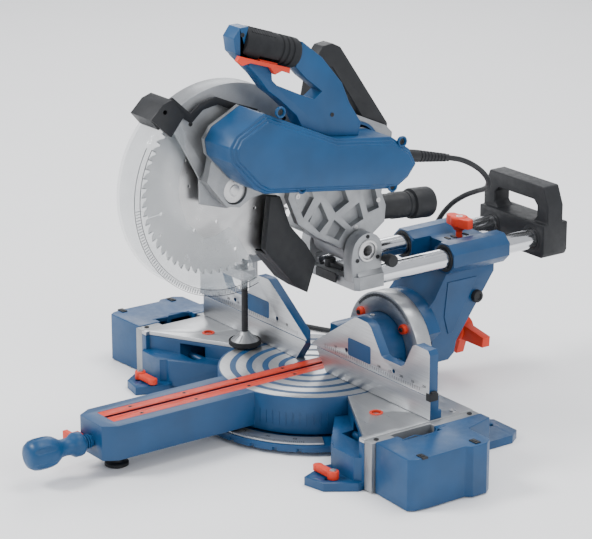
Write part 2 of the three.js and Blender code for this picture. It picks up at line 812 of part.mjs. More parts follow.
piece(
  "gear_case",
  head,
  cut(
    join(
      prism("x", coverOutline, plateInner, plateOuter),
      prism("x", caseOutline, gearFace, plateInner + 1),
      prism("x", noseOutline, wallOut + gap, gearFace + 1),
    ),
    arborBore(wallOut - 1, 40, 9),
    arborBore(gearFace + 2, plateOuter + 1, 19.5),
    layBore(gearFace + 2, plateOuter + 1, 37),
    rodX(plateInner - 1, plateOuter + 1, motorY, motorZ, 14, 20),
    rodX(gearFace - 1, plateInner, -116, 472, 5 + running, 16),
    prism("x", grow(strap, 1.5), gearFace - 1, strapX1 + running),
  ),
  castAluminium,
);

// The arm casting reaches from the hinge up to the motor's seat.
const armSide = [
  [-66, 344], [-49, 304], [-17.5, 280], [12, 264], [30, 252], ...arc(chopY, chopZ, 25, 200, 340, 6),
  [84, 268], [104, 282], [106, 306], [98, 326], [102, 348], [112, 372], [116, 412], [104, 424], [0, 470],
  [-24, 470], [-30, 460], [-30, 372], [-60, 372],
];
const armWall = 36;
const ribPockets = [
  [[-54, 340], [-40, 312], [-22, 338], [-30, 362]],
  [[-32, 306], [-12, 286], [4, 300], [-10, 330]],
  [[0, 280], [22, 268], [34, 282], [14, 300]],
  [[0, 336], [16, 310], [40, 322], [30, 346], [6, 352]],
  [[26, 302], [44, 284], [66, 292], [58, 318]],
  [[64, 330], [74, 300], [94, 304], [88, 328], [82, 344]],
].flatMap((pocket) => [
  prism("x", pocket, armWall - 12, armWall + 1),
  prism("x", pocket, -armWall - 1, -armWall + 12),
]);
const guardSweep = rodX(-60, 25.5, arborY, arborZ, lowerGuard + 2.5, 56);
const motorBed = rodX(-60, 60, motorY, motorZ, motorRadius + gap, 32);
const airTube = [[0, 100, 293], [0, 212, 284]];
piece(
  "head_arm",
  head,
  cut(
    prism("x", armSide, -armWall, armWall),
    guardSweep,
    motorBed,
    rodX(-60, 60, chopY, chopZ, 12 + running, 24),
    ...ribPockets,
    rod([0, 60, 296.5], airTube[1], 16, 20),
  ),
  castAluminium,
);
const motorLeft = -122;
piece(
  "motor_shell",
  head,
  cut(
    join(
      rodX(motorLeft + 10, plateInner - gap, motorY, motorZ, motorRadius, 32),
      rod([motorLeft + 10, motorY, motorZ], [motorLeft, motorY, motorZ], motorRadius, 32, motorRadius - 8),
    ),
    rodX(motorLeft + 8, plateInner, motorY, motorZ, motorRadius - 4, 28),
  ),
  blue,
);
const pulleyX0 = 54;
const pulleyX1 = 72;
const layPulley = 26;
const motorPulley = 18;
const arborGear = 18;
const layGear = Math.hypot(layY - arborY, layZ - arborZ) - arborGear - running;
piece(
  "motor_rotor",
  head,
  join(
    rodX(motorLeft + 16, pulleyX1 + 6, motorY, motorZ, 7, 12),
    rodX(motorLeft + 30, 10, motorY, motorZ, 30, 24),
    rodX(motorLeft + 18, motorLeft + 26, motorY, motorZ, 18, 16),
    rodX(pulleyX0, pulleyX1, motorY, motorZ, motorPulley, 20),
  ),
  steel,
);
piece(
  "layshaft",
  head,
  join(
    rodX(gearFace + 3, pulleyX1 + 4, layY, layZ, 6, 12),
    rodX(gearFace + 4, gearFace + 10, layY, layZ, layGear, 28),
    rodX(pulleyX0, pulleyX1, layY, layZ, layPulley, 24),
  ),
  steel,
);
// The belt's loop touches both pulleys along their outer tangents.
function beltLoop(extra) {
  const [dy, dz] = [motorY - layY, motorZ - layZ];
  const along = Math.atan2(dz, dy) / rad;
  const [a, b] = [layPulley + gap + extra, motorPulley + gap + extra];
  const lean = Math.acos((a - b) / Math.hypot(dy, dz)) / rad;
  return [
    ...arc(layY, layZ, a, along + lean, along + 360 - lean, 16),
    ...arc(motorY, motorZ, b, along - lean, along + lean, 12),
  ];
}
piece(
  "drive_belt",
  head,
  cut(
    prism("x", beltLoop(3), pulleyX0 + 1, pulleyX1 - 1),
    prism("x", beltLoop(0), pulleyX0, pulleyX1),
  ),
  rubber,
);

// ---- handles ----
const handleX0 = 62;
const handleX1 = 88;
const handleMid = (handleX0 + handleX1) / 2;
const dOutline = [
  [-189, 577], [-192, 597], [-182, 610], [-160, 610], [-86, 583], [-47, 552], [-13, 512], [0, 482],
  [20, 452], [14, 424], [-62, 424], [-90, 478], [-118, 504], [-136, 518], [-153, 540], [-168, 556],
];
const dOpening = [
  [-132, 560], [-92, 546], [-75, 528], [-47, 505], [-60, 496], [-73, 501], [-122, 524], [-130, 532],
];
const gripFront = [handleMid, -174, 590];
const gripBack = [handleMid, -86, 561];
const gripAt = (t, down) => {
  const along = [gripBack[1] - gripFront[1], gripBack[2] - gripFront[2]];
  const length = Math.hypot(...along);
  const [uy, uz] = [along[0] / length, along[1] / length];
  return [gripFront[1] + uy * t + uz * down, gripFront[2] + uz * t - uy * down];
};
const gripLength = Math.hypot(gripBack[1] - gripFront[1], gripBack[2] - gripFront[2]);
const gripRadius = 21;
const gripCore = 12;
const gripSpan = (radius, from, to) => {
  const ends = [from, to].map((t) => [handleMid, ...gripAt(t, 0)]);
  return rod(ends[0], ends[1], radius, 24);
};
const gripClear = prism(
  "x",
  [
    gripAt(-gap, -40), gripAt(gripLength + gap, -40), gripAt(gripLength + gap, gripRadius),
    gripAt(-gap, gripRadius),
  ],
  50, 100,
);
const triggerSlot = prism(
  "x",
  [gripAt(28, 13.5), gripAt(62, 13.5), gripAt(62, 24), gripAt(28, 24)],
  handleMid - 8,
  handleX1 + 20,
);
piece(
  "d_handle",
  head,
  cut(
    join(cut(prism("x", dOutline, handleX0, handleX1), gripClear), gripSpan(gripCore, -6, gripLength + 6)),
    cut(prism("x", dOpening, handleX0 - 1, handleX1 + 1), gripSpan(gripCore + 1, 0, gripLength)),
    prism("x", grow(coverOutline, gap), coverInner - 1, coverOuter + 1),
    triggerSlot,
  ),
  blue,
);
piece(
  "grip_sleeve",
  head,
  cut(gripSpan(gripRadius, 0, gripLength), gripSpan(gripCore + gap, -1, gripLength + 1), triggerSlot),
  rubber,
);
piece(
  "trigger",
  head,
  join(
    prism(
      "x",
      [gripAt(-8, 19.5), gripAt(78, 19.5), gripAt(80, 27), gripAt(66, 26), gripAt(56, 33), gripAt(46, 25),
        gripAt(12, 25), gripAt(0, 31), gripAt(-10, 27)],
      handleX1 + running,
      handleX1 + 8,
    ),
    prism(
      "x", [gripAt(30, 17.5), gripAt(60, 17.5), gripAt(60, 22), gripAt(30, 22)], handleMid - 6,
      handleX1 + 2,
    ),
  ),
  orange,
);

// Carry handle: one bar bent over the motor.
const carryX0 = 8;
const carryX1 = 30;
const carryOuter = [
  [-28, 471], [-14, 536], [-2, 551], [14, 553], [28, 546], [112, 425], [112, 417.5], [70, 436],
  [14, 519], [8, 520], [3, 512], [-4, 471],
];
piece(
  "carry_handle",
  head,
  cut(
    prism("x", carryOuter, carryX0, carryX1),
    prism("x", grow(armSide, gap), carryX0 - 1, carryX1 + 1),
  ),
  black,
);

// ---- guards ----
const guardAt = (radius, angle) => {
  const t = angle * rad;
  return [arborY + radius * Math.cos(t), arborZ + radius * Math.sin(t)];
};
const guardArc = (radius, from, to, steps) => arc(arborY, arborZ, radius, from, to, steps);
const upperOutline = [
  ...guardArc(
    upperGuard, -4, 131, 30,
  ), guardAt(50, 156), guardAt(48, 200), guardAt(30, 270), guardAt(46, 330),
];
const guardBoss = 22;
piece(
  "upper_guard",
  head,
  cut(
    join(
      cut(
        prism("x", upperOutline, wallIn, wallOut),
        rodX(wallIn + guardWall, wallOut - guardWall, arborY, arborZ, upperGuard - guardWall, 56),
      ),
      rodX(wallIn - 8, wallIn + guardWall, arborY, arborZ, guardBoss, 28),
    ),
    arborBore(wallIn - 9, wallIn + guardWall + 1, 15),
    arborBore(wallOut - guardWall - 1, wallOut + 1, 12),
  ),
  castAluminium,
);
const guardFrom = 127;
const guardTo = 290;
const sector = guardArc(lowerGuard, guardFrom, guardTo, 30);
const farWall = join(
  prism("x", [...sector, guardAt(20, 290), guardAt(20, 127)], lowerFar - lowerWall, lowerFar),
  rodX(lowerFar - lowerWall, lowerFar, arborY, arborZ, guardBoss + 9, 28),
);
const nearWall = prism(
  "x",
  [...sector, guardAt(120, 289.5), guardAt(60, 276), guardAt(56, 271), guardAt(68, 252), guardAt(77, 238),
    guardAt(79, 207), guardAt(82, 180), guardAt(85, 160), guardAt(90, 142), guardAt(112, 127.5)],
  lowerNear,
  lowerNear + lowerWall,
);
const rim = prism(
  "x",
  [...sector, ...guardArc(lowerGuard - 3, guardTo, guardFrom, 30)],
  lowerFar - lowerWall,
  lowerNear + lowerWall,
);
piece(
  "lower_guard",
  spindle,
  cut(join(farWall, nearWall, rim), arborBore(lowerFar - 6, lowerFar + 1, guardBoss + running)),
  clear,
);
// A black stop over the guard's front edge, on a flat strap that is screwed to the gear case.
const stopBlock = prism(
  "x", [guardAt(154, 124), guardAt(154, 139), guardAt(176, 138), guardAt(178, 125)], -18, strapX1,
);
piece(
  "guard_stop",
  head,
  join(
    prism("x", strap, strapX0, strapX1),
    stopBlock,
    prism(
      "x", [guardAt(140, 124), guardAt(134, 138), guardAt(176, 138), guardAt(178, 125)], strapX0,
      strapX1 + 5,
    ),
    rodX(strapX0, plateInner - gap, -116, 472, 5, 16),
  ),
  black,
);

// ---- blade and arbor ----
function bladeOutline() {
  const points = [];
  for (let i = 0; i < toothCount; i++) {
    const t = (360 / toothCount) * i;
    points.push(guardAt(bladeRadius, t), guardAt(bladeRadius - 7, t + 2));
  }
  return points;
}
const relief = [0, 90, 180, 270].map((angle) => {
  const t = angle + 13;
  return prism(
    "x",
    [
      guardAt(bladeRadius - 28, t - 0.4), guardAt(bladeRadius - 1, t - 0.4),
      guardAt(bladeRadius - 1, t + 0.4), guardAt(bladeRadius - 28, t + 0.4),
    ],
    -3, 3,
  );
});
piece(
  "saw_blade",
  spindle,
  cut(
    prism("x", bladeOutline(), -bladeThick / 2, bladeThick / 2),
    arborBore(-3, 3, 8 + gap),
    ...relief,
  ),
  steel,
);
const washerIn = bladeThick / 2 + gap;
piece(
  "arbor",
  spindle,
  join(
    arborBore(-14, gearFace + 11, 8),
    arborBore(washerIn, washerIn + 5, 22),
    arborBore(-washerIn - 4, -washerIn, 22),
    rodX(-14, -washerIn - 4, arborY, arborZ, 11, 6),
    arborBore(gearFace + 4, gearFace + 10, arborGear),
  ),
  steel,
);

// ---- dust extraction ----
const chuteSide = [
  [-88, 348], [-97, 272], [-90, 264], [-48, 213], [-24, 196], [-9, 240], [-26, 268], [-54, 300], [-71, 346],
];
piece(
  "dust_chute",
  head,
  cut(
    prism("x", chuteSide, -24, 24),
    rodX(-12, 12, arborY, arborZ, bladeRadius + 4, 64),
    prism("x", [[-84, 341], [-92, 273], [-60, 230], [-30, 200], [-20, 240], [-60, 300]], -20, 20),
  ),
  black,
);
piece(
  "dust_port",
  head,
  cut(
    join(
      rod([0, 106.5, 292.5], airTube[1], 20, 20),
      rod([0, 186, 286.1], airTube[1], 23, 20),
    ),
    rod([0, 90, 293.8], [0, 215, 283.8], 16, 20),
  ),
  black,
);

// ---- mains lead ----
const reliefFrom = [60, 107, 385];
const reliefTo = [60, 200, 366];
piece(
  "strain_relief",
  head,
  join(
    rod(reliefFrom, [60, 140, 378.3], 9, 20),
    rod([60, 138, 378.7], reliefTo, 9, 20, 5.5),
  ),
  black,
);
const leadPath = [
  [60, 200.4, 365.9], [60, 224, 359], [58, 250, 346], [50, 278, 326], [34, 300, 305], [10, 314, 289],
  [-18, 320, 277], [-48, 320, 262], [-76, 316, 240], [-96, 310, 210], [-108, 304, 174], [-114, 298, 136],
  [-118, 293, 98], [-121, 291, 70], [-125, 289, 48], [-137, 285, 26], [-155, 279, 11], [-180, 270, 5.4],
  [-212, 257, 4.6], [-246, 241, 4.6], [-276, 226, 4.6], [-306, 213, 4.6], [-335, 207.2, 4.6],
].map(vec);
const leadCurve = new THREE.CatmullRomCurve3(leadPath, false, "centripetal");
const leadSection = new THREE.Shape(
  arc(0, 0, cordRadius, 0, 315, 7).map(([a, b]) => new THREE.Vector2(a, b)),
);
piece(
  "power_cord",
  base,
  solidOf(new THREE.ExtrudeGeometry(leadSection, { steps: 48, extrudePath: leadCurve, bevelEnabled: false })),
  black,
);
const coilInner = 36;
const coilOuter = 52.5;
const coilHeight = 25;
const coilProfile = [
  [coilInner, 0], [coilOuter, 0], [coilOuter, coilHeight], [coilInner, coilHeight], [coilInner, 0],
];
piece(
  "cord_coil",
  base,
  solidOf(
    new THREE.LatheGeometry(coilProfile.map(([r, h]) => new THREE.Vector2(r, h)), 32),
    new THREE.Matrix4().makeRotationX(Math.PI / 2).setPosition(coilX, coilY, 0),
  ),
  black,
);
// The plug lies on the wound lead.
const plugX = coilX - 37;
const plugRear = coilY + 15;
const plugHalf = 14;
const plugDeep = 13;
const plugLength = 34;
const pinLength = 18;
const pinSpread = 9;
const plugUnder = coilHeight + gap;
piece(
  "plug",
  base,
  join(
    box(
      plugX - plugHalf, plugX + plugHalf, plugRear - plugLength, plugRear, plugUnder,
      plugUnder + 2 * plugDeep,
    ),
    ...[-pinSpread, pinSpread].map((side) =>
      rodY(
        plugX + side, plugRear - plugLength - pinLength, plugRear - plugLength + 2, plugUnder + plugDeep,
        2.4, 8,
      ),
    ),
  ),
  black,
);

export default saw;
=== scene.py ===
import json
import math

import bmesh
import bpy
from bpy.props import FloatProperty, FloatVectorProperty, IntProperty, PointerProperty
from mathutils import Matrix, Vector


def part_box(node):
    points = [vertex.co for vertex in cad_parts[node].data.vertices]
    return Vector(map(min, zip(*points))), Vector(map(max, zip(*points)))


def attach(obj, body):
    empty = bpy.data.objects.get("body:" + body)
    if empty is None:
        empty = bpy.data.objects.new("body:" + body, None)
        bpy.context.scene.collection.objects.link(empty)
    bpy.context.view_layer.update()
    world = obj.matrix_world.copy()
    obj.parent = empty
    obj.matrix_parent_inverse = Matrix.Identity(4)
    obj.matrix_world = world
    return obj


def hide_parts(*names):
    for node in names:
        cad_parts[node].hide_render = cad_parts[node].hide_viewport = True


bl_info = {
    "name": "Sliding mitre saw",
    "version": (1, 0, 0),
    "blender": (4, 5, 0),
    "location": "3D View > Sidebar > Mitre saw",
    "description": "Finishes a sliding compound mitre saw piece by piece on its CAD frame",
    "category": "Object",
}

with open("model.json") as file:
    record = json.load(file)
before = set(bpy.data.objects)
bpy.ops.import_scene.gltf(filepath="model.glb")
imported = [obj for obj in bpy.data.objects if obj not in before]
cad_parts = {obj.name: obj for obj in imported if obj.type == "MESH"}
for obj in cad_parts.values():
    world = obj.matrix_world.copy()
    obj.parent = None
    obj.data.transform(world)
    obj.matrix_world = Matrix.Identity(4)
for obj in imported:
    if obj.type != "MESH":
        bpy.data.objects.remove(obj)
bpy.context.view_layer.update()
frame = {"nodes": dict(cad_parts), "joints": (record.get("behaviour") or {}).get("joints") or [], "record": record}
MM = 0.001
GAP = 0.3

# Places that the pieces share, in millimetres, read from the frame where a solid holds them.


def low(node):
    """A CAD node's lowest corner, in millimetres."""
    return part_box(node)[0] / MM


def high(node):
    """A CAD node's highest corner, in millimetres."""
    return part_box(node)[1] / MM


def joint_at(name):
    """The point on a joint's axis, in millimetres."""
    return Vector(next(j for j in frame["joints"] if j["name"] == name)["pos_m"]) / MM


ARBOR = joint_at("blade_spin")
CHOP = joint_at("chop")
BLADE_RADIUS = (high("saw_blade").y - low("saw_blade").y) / 2
PLATE_HALF = 0.9
TABLE = high("left_table_plate").z
DISC_RADIUS = high("turntable").x
ARM_FRONT = low("turntable").y
KNOB_BASE = ARM_FRONT - 16
RAIL_X = (low("right_rail").x + high("right_rail").x) / 2
RAIL_Z = (low("right_rail").z + high("right_rail").z) / 2
RAIL_RADIUS = (high("right_rail").x - low("right_rail").x) / 2
FIRST_TICK = 34
FIGURE_STEP = 25
COVER_X = high("belt_cover").x
COVER_RECESS = COVER_X - 8.3
CORD_RADIUS = 4.0


# ---- sizes and colours that a user would change ----


class SawSizes(bpy.types.PropertyGroup):
    """Sizes of the finished pieces, in millimetres."""

    casting_edge: FloatProperty(
        name="Casting edge", description="Rounding on the castings' edges", default=1.2, min=0.1,
    )
    plastic_edge: FloatProperty(
        name="Plastic edge", description="Rounding on the moulded pieces' edges", default=2.0, min=0.1,
    )
    teeth: IntProperty(name="Teeth", description="Carbide teeth round the blade", default=60, min=12)
    grip_ribs: IntProperty(
        name="Grip ribs", description="Ribs moulded round the rubber grip", default=9, min=2,
    )
    vent_slots: IntProperty(name="Vent slots", description="Cooling slots round the motor", default=18, min=4)
    turn_points: IntProperty(
        name="Turn points", description="Points that each turn of the wound lead is drawn through",
        default=18, min=12,
    )


def colour(name, text, value):
    """A colour setting with its default."""
    return FloatVectorProperty(
        name=name, description=text, subtype="COLOR", size=4, min=0, max=1, default=(*value, 1),
    )


class SawColours(bpy.types.PropertyGroup):
    """Colours of the paints, plastics and metals, as linear values."""

    paint: colour("Blue paint", "Paint on the castings", (0.0020, 0.050, 0.142))
    moulding: colour("Blue moulding", "Colour of the covers and handle", (0.0028, 0.058, 0.160))
    signal: colour("Orange", "Colour of the levers and kerf inserts", (0.66, 0.040, 0.012))
    black: colour("Black", "Colour of the dark mouldings", (0.012, 0.013, 0.015))
    rubber: colour("Rubber", "Colour of the grip", (0.009, 0.010, 0.012))
    cast: colour("Cast metal", "Bare die casting", (0.34, 0.35, 0.36))
    machined: colour("Machined metal", "Faces cut bright", (0.50, 0.51, 0.52))
    plated: colour("Plated bar", "The slide rails", (0.72, 0.73, 0.75))
    steel: colour("Steel", "Blade, shafts and screws", (0.55, 0.55, 0.55))
    ink: colour("Ink", "Graduations and figures", (0.01, 0.01, 0.012))


# ---- materials ----


class Shader:
    """A material under construction: one principled shader and the nodes that feed it."""

    def __init__(self, name, rough, metal=0.0):
        self.material = bpy.data.materials.new(name)
        self.material.use_nodes = True
        self.tree = self.material.node_tree
        self.tree.nodes.clear()
        self.out = self.tree.nodes.new("ShaderNodeOutputMaterial")
        self.surface = self.tree.nodes.new("ShaderNodeBsdfPrincipled")
        self.surface.inputs["Metallic"].default_value = metal
        self.surface.inputs["Roughness"].default_value = rough
        self.link(self.surface.outputs[0], self.out.inputs["Surface"])
        self.place = self.tree.nodes.new("ShaderNodeTexCoord").outputs["Object"]

    def link(self, source, target):
        self.tree.links.new(source, target)

    def node(self, kind, **values):
        """A node whose named sockets are set, or linked where the value is a socket."""
        made = self.tree.nodes.new(kind)
        for key, value in values.items():
            if key in (
                "operation", "data_type", "blend_type", "interpolation", "wave_type", "feature",
                "bands_direction",
            ):
                setattr(made, key, value)
                continue
            socket = made.inputs[int(key[1:])] if key[0] == "i" and key[1:].isdigit() else made.inputs[
                key.replace("_", " ")
            ]
            if isinstance(value, bpy.types.NodeSocket):
                self.link(value, socket)
            else:
                socket.default_value = value
        return made

    def math(self, operation, a, b=0.0, c=0.0):
        return self.node("ShaderNodeMath", operation=operation, i0=a, i1=b, i2=c).outputs[0]

    def noise(self, scale, detail=3.0, rough=0.55, stretch=None, place=None):
        """Noise with a grain of 1/scale metres, drawn out along an axis where a stretch is given."""
        where = place or self.place
        if stretch:
            where = self.node("ShaderNodeMapping", Vector=where, Scale=stretch).outputs[0]
        made = self.node("ShaderNodeTexNoise", Vector=where, Scale=scale, Detail=detail, Roughness=rough)
        return made.outputs["Fac"]

    def ramp(self, value, start, end, first, last):
        """A value stretched from one range to another and kept inside it."""
        made = self.node(
            "ShaderNodeMapRange", Value=value, From_Min=start, From_Max=end, To_Min=first, To_Max=last,
        )
        return made.outputs[0]

    def blend(self, share, a, b):
        """A colour between two, each a socket or four numbers."""
        made = self.tree.nodes.new("ShaderNodeMix")
        made.data_type = "RGBA"
        for key, value in (("Factor_Float", share), ("A_Color", a), ("B_Color", b)):
            socket = next(s for s in made.inputs if s.identifier == key)
            if isinstance(value, bpy.types.NodeSocket):
                self.link(value, socket)
            else:
                socket.default_value = value
        return next(s for s in made.outputs if s.identifier == "Result_Color")

    def set(self, socket, source):
        if isinstance(source, bpy.types.NodeSocket):
            self.link(source, self.surface.inputs[socket])
        else:
            self.surface.inputs[socket].default_value = source

    def bump(self, height, distance, strength=0.6, under=None):
        """Adds relief of a real height, in metres."""
        made = self.node("ShaderNodeBump", Height=height, Distance=distance, Strength=strength)
        if under is not None:
            self.link(under, made.inputs["Normal"])
        self.link(made.outputs[0], self.surface.inputs["Normal"])
        return made.outputs[0]


def shade(colour_value, factor):
    """A colour made lighter or darker."""
    return tuple(min(1.0, c * factor) for c in colour_value[:3]) + (1.0,)


def grained(name, base, rough, grain=1400.0, depth=0.00006, metal=0.0, coat=0.0):
    """Moulded plastic or paint: fine grain, slow colour drift and uneven gloss."""
    s = Shader(name, rough, metal)
    drift = s.noise(18, 2)
    specks = s.noise(grain, 3)
    s.set("Base Color", s.blend(s.ramp(drift, 0.3, 0.7, 0, 1), shade(base, 0.86), shade(base, 1.12)))
    s.set("Roughness", s.ramp(s.noise(90, 4), 0.3, 0.7, rough - 0.06, rough + 0.08))
    s.set("Specular IOR Level", 0.38)
    s.set("Coat Weight", coat)
    s.set("Coat Roughness", 0.25)
    s.bump(specks, depth)
    return s.material


def cast_metal(name, base, rough):
    """A bead-blasted die casting: coarse flow under a fine grain."""
    s = Shader(name, rough, 0.85)
    flow = s.noise(26, 4)
    grit = s.noise(1100, 2)
    s.set("Base Color", s.blend(s.ramp(flow, 0.3, 0.7, 0, 1), shade(base, 0.82), shade(base, 1.1)))
    s.set("Roughness", s.ramp(grit, 0.3, 0.7, rough - 0.08, rough + 0.12))
    s.bump(grit, 0.00012, under=s.bump(flow, 0.0004))
    return s.material


def brushed(name, base, rough, stretch, metal=1.0):
    """Metal cut or ground along one direction."""
    s = Shader(name, rough, metal)
    lines = s.noise(900, 3, stretch=stretch)
    cloud = s.noise(22, 3)
    tone = s.math("ADD", s.math("MULTIPLY", lines, 0.6), s.math("MULTIPLY", cloud, 0.4))
    s.set("Base Color", s.blend(s.ramp(tone, 0.3, 0.7, 0, 1), shade(base, 0.84), shade(base, 1.1)))
    s.set("Roughness", s.ramp(lines, 0.25, 0.75, rough - 0.07, rough + 0.12))
    s.bump(lines, 0.00003)
    return s.material


def split_axes(s):
    made = s.node("ShaderNodeSeparateXYZ", Vector=s.place)
    return made.outputs


def radius_about(s, first, second, a, b):
    """Distance from a line along the third axis, in metres."""
    da = s.math("SUBTRACT", first, a)
    db = s.math("SUBTRACT", second, b)
    return s.math("SQRT", s.math("ADD", s.math("MULTIPLY", da, da), s.math("MULTIPLY", db, db)))


def turned_steel(name, base):
    """The blade's ground face: fine rings round the arbor."""
    s = Shader(name, 0.3, 1.0)
    _, y, z = split_axes(s)
    r = radius_about(s, y, z, ARBOR.y * MM, ARBOR.z * MM)
    rings = s.node(
        "ShaderNodeTexNoise", Vector=s.node("ShaderNodeCombineXYZ", X=r).outputs[0], Scale=1500.0,
        Detail=4.0,
    ).outputs["Fac"]
    s.set("Base Color", s.blend(s.ramp(rings, 0.3, 0.7, 0, 1), shade(base, 0.78), shade(base, 1.15)))
    s.set("Roughness", s.ramp(s.noise(60, 4), 0.3, 0.7, 0.26, 0.42))
    s.bump(rings, 0.00002)
    return s.material


def two_tone(name, paint, metal, mask_from, machined_axis):
    """Painted casting with its cut faces bare: the mask is 1 on the bare faces."""
    s = Shader(name, 0.45, 0.0)
    mask = mask_from(s)
    stretch = {"x": (0.02, 1, 1), "y": (1, 0.02, 1)}[machined_axis]
    lines = s.noise(900, 3, stretch=stretch)
    drift = s.noise(18, 2)
    dark = s.blend(s.ramp(drift, 0.3, 0.7, 0, 1), shade(paint, 0.86), shade(paint, 1.12))
    bright = s.blend(s.ramp(lines, 0.3, 0.7, 0, 1), shade(metal, 0.86), shade(metal, 1.08))
    s.set("Base Color", s.blend(mask, dark, bright))
    s.set("Metallic", s.math("MULTIPLY", mask, 0.9))
    s.set("Roughness", s.ramp(mask, 0, 1, 0.44, 0.36))
    s.bump(s.noise(1400, 3), 0.00006)
    return s.material


def turntable_mask(s):
    """Bare rings on the table's disc, with painted recesses between them; the arm keeps its paint."""
    x, y, z = split_axes(s)
    r = s.math("SQRT", s.math("ADD", s.math("MULTIPLY", x, x), s.math("MULTIPLY", y, y)))
    top = s.math("GREATER_THAN", z, (TABLE - 0.2) * MM)
    inside = s.math("LESS_THAN", r, (DISC_RADIUS - 2) * MM)
    wave = s.math("FRACT", s.math("MULTIPLY", r, 1 / 0.0235))
    band = s.math("LESS_THAN", wave, 0.62)
    return s.math("MULTIPLY", top, s.math("MULTIPLY", inside, band))


def front_face_mask(s):
    """Faces cut bright towards the operator."""
    return s.math("LESS_THAN", split_axes(s)[1], 0.15 * MM)


MATERIALS = {}


def make_materials(colours):
    """Every finish on the saw, kept under the record's slot names and a few of their own."""
    c = {key: tuple(getattr(colours, key)) for key in SawColours.__annotations__}
    clear = Shader("clear_moulding", 0.12)
    clear.set("Base Color", (0.42, 0.46, 0.48, 1))
    clear.set("Alpha", clear.ramp(clear.noise(14, 2), 0.3, 0.7, 0.13, 0.20))
    clear.set("Coat Weight", 0.5)
    clear.bump(clear.noise(40, 2), 0.00003)
    MATERIALS.update(
        blue_paint=grained("blue_casting_paint", c["paint"], 0.38, 1500, 0.00005, coat=0.15),
        blue_plastic=grained("blue_moulding", c["moulding"], 0.40, 1700, 0.00005),
        orange_plastic=grained("orange_moulding", c["signal"], 0.48, 1700, 0.00004),
        black_plastic=grained("black_moulding", c["black"], 0.52, 1600, 0.00008),
        grip_rubber=grained("grip_rubber", c["rubber"], 0.74, 1100, 0.00016),
        lead_jacket=grained("lead_jacket", c["black"], 0.58, 900, 0.00005),
        cast_aluminium=cast_metal("blasted_casting", c["cast"], 0.46),
        machined_aluminium=brushed("milled_face", c["machined"], 0.34, (0.02, 1, 1), 0.9),
        chrome=brushed("plated_bar", c["plated"], 0.12, (1, 0.01, 1)),
        steel=brushed("ground_steel", c["steel"], 0.30, (1, 1, 0.02)),
        blade_steel=turned_steel("blade_plate", c["steel"]),
        carbide=grained("carbide_tips", shade(c["steel"], 0.45), 0.34, 900, 0.00003, metal=1.0),
        ink=grained("graduation_ink", c["ink"], 0.6, 900, 0.00002),
        pale_ink=grained("pale_ink", (0.62, 0.63, 0.64, 1), 0.5, 900, 0.00002),
        clear_plastic=clear.material,
        turntable=two_tone("turntable_faces", c["paint"], c["machined"], turntable_mask, "x"),
        fence=two_tone("fence_faces", c["paint"], c["machined"], front_face_mask, "x"),
    )
    clear.material.surface_render_method = "BLENDED"


# ---- making meshes, in millimetres until the piece is finished ----

AXES = {"x": (1, 2, 0), "y": (0, 2, 1), "z": (0, 1, 2)}


def place(axis, a, b, depth):
    """The point with outline coordinates a, b at a depth along an axis."""
    point = [0.0, 0.0, 0.0]
    first, second, third = AXES[axis]
    point[first], point[second], point[third] = a, b, depth
    return Vector(point)


def prism(bm, axis, outline, start, end):
    """An outline across one axis, filled from start to end."""
    rings = [[bm.verts.new(place(axis, a, b, d)) for a, b in outline] for d in (start, end)]
    bm.faces.new(rings[0])
    bm.faces.new(rings[1])
    for i in range(len(outline)):
        j = (i + 1) % len(outline)
        bm.faces.new((rings[0][i], rings[0][j], rings[1][j], rings[1][i]))


def block(bm, x0, x1, y0, y1, z0, z1):
    prism(bm, "z", [(x0, y0), (x1, y0), (x1, y1), (x0, y1)], z0, z1)


def skin(bm, rings, closed=False):
    """Faces between rings of points; a ring of one point is a pole."""
    made = [[bm.verts.new(p) for p in ring] for ring in rings]
    pairs = list(zip(made, made[1:])) + ([(made[-1], made[0])] if closed else [])
    for a, b in pairs:
        count = max(len(a), len(b))
        for i in range(count):
            j = (i + 1) % count
            corners = (a[i % len(a)], a[j % len(a)], b[j % len(b)], b[i % len(b)])
            bm.faces.new(list(dict.fromkeys(corners)))
    if not closed:
        for ring in (made[0], made[-1]):
            if len(ring) > 2:
                bm.faces.new(ring)


def side_axes(direction):
    """Two unit vectors square to a direction."""
    along = Vector(direction).normalized()
    helper = Vector((0, 0, 1)) if abs(along.z) < 0.9 else Vector((1, 0, 0))
    first = along.cross(helper).normalized()
    return along, first, along.cross(first)


def lathe(bm, centre, direction, profile, sides=64, closed=False):
    """A profile of (radius, distance) pairs turned about an axis."""
    along, u, v = side_axes(direction)
    rings = []
    for radius, distance in profile:
        middle = Vector(centre) + along * distance
        if radius < 1e-6:
            rings.append([middle])
            continue
        turn = [2 * math.pi * i / sides for i in range(sides)]
        rings.append([middle + u * radius * math.cos(t) + v * radius * math.sin(t) for t in turn])
    skin(bm, rings, closed)


def cylinder(bm, start, end, radius, sides=48, chamfer=0.0):
    """A round bar between two points, with its end edges broken."""
    length = (Vector(end) - Vector(start)).length
    c = chamfer
    profile = [
        (radius - c, 0), (radius, c), (radius, length - c), (radius - c, length),
    ] if c else [(radius, 0), (radius, length)]
    lathe(bm, start, Vector(end) - Vector(start), profile, sides)


def tube(bm, path, radius, sides=16):
    """A round tube along a path of points."""
    points = [Vector(p) for p in path]
    along, u, v = side_axes(points[1] - points[0])
    rings = []
    for i, point in enumerate(points):
        ahead = points[min(i + 1, len(points) - 1)] - points[max(i - 1, 0)]
        turn = along.rotation_difference(ahead.normalized())
        along, u, v = turn @ along, turn @ u, turn @ v
        circle = [2 * math.pi * k / sides for k in range(sides)]
        rings.append([point + radius * (u * math.cos(t) + v * math.sin(t)) for t in circle])
    skin(bm, rings)


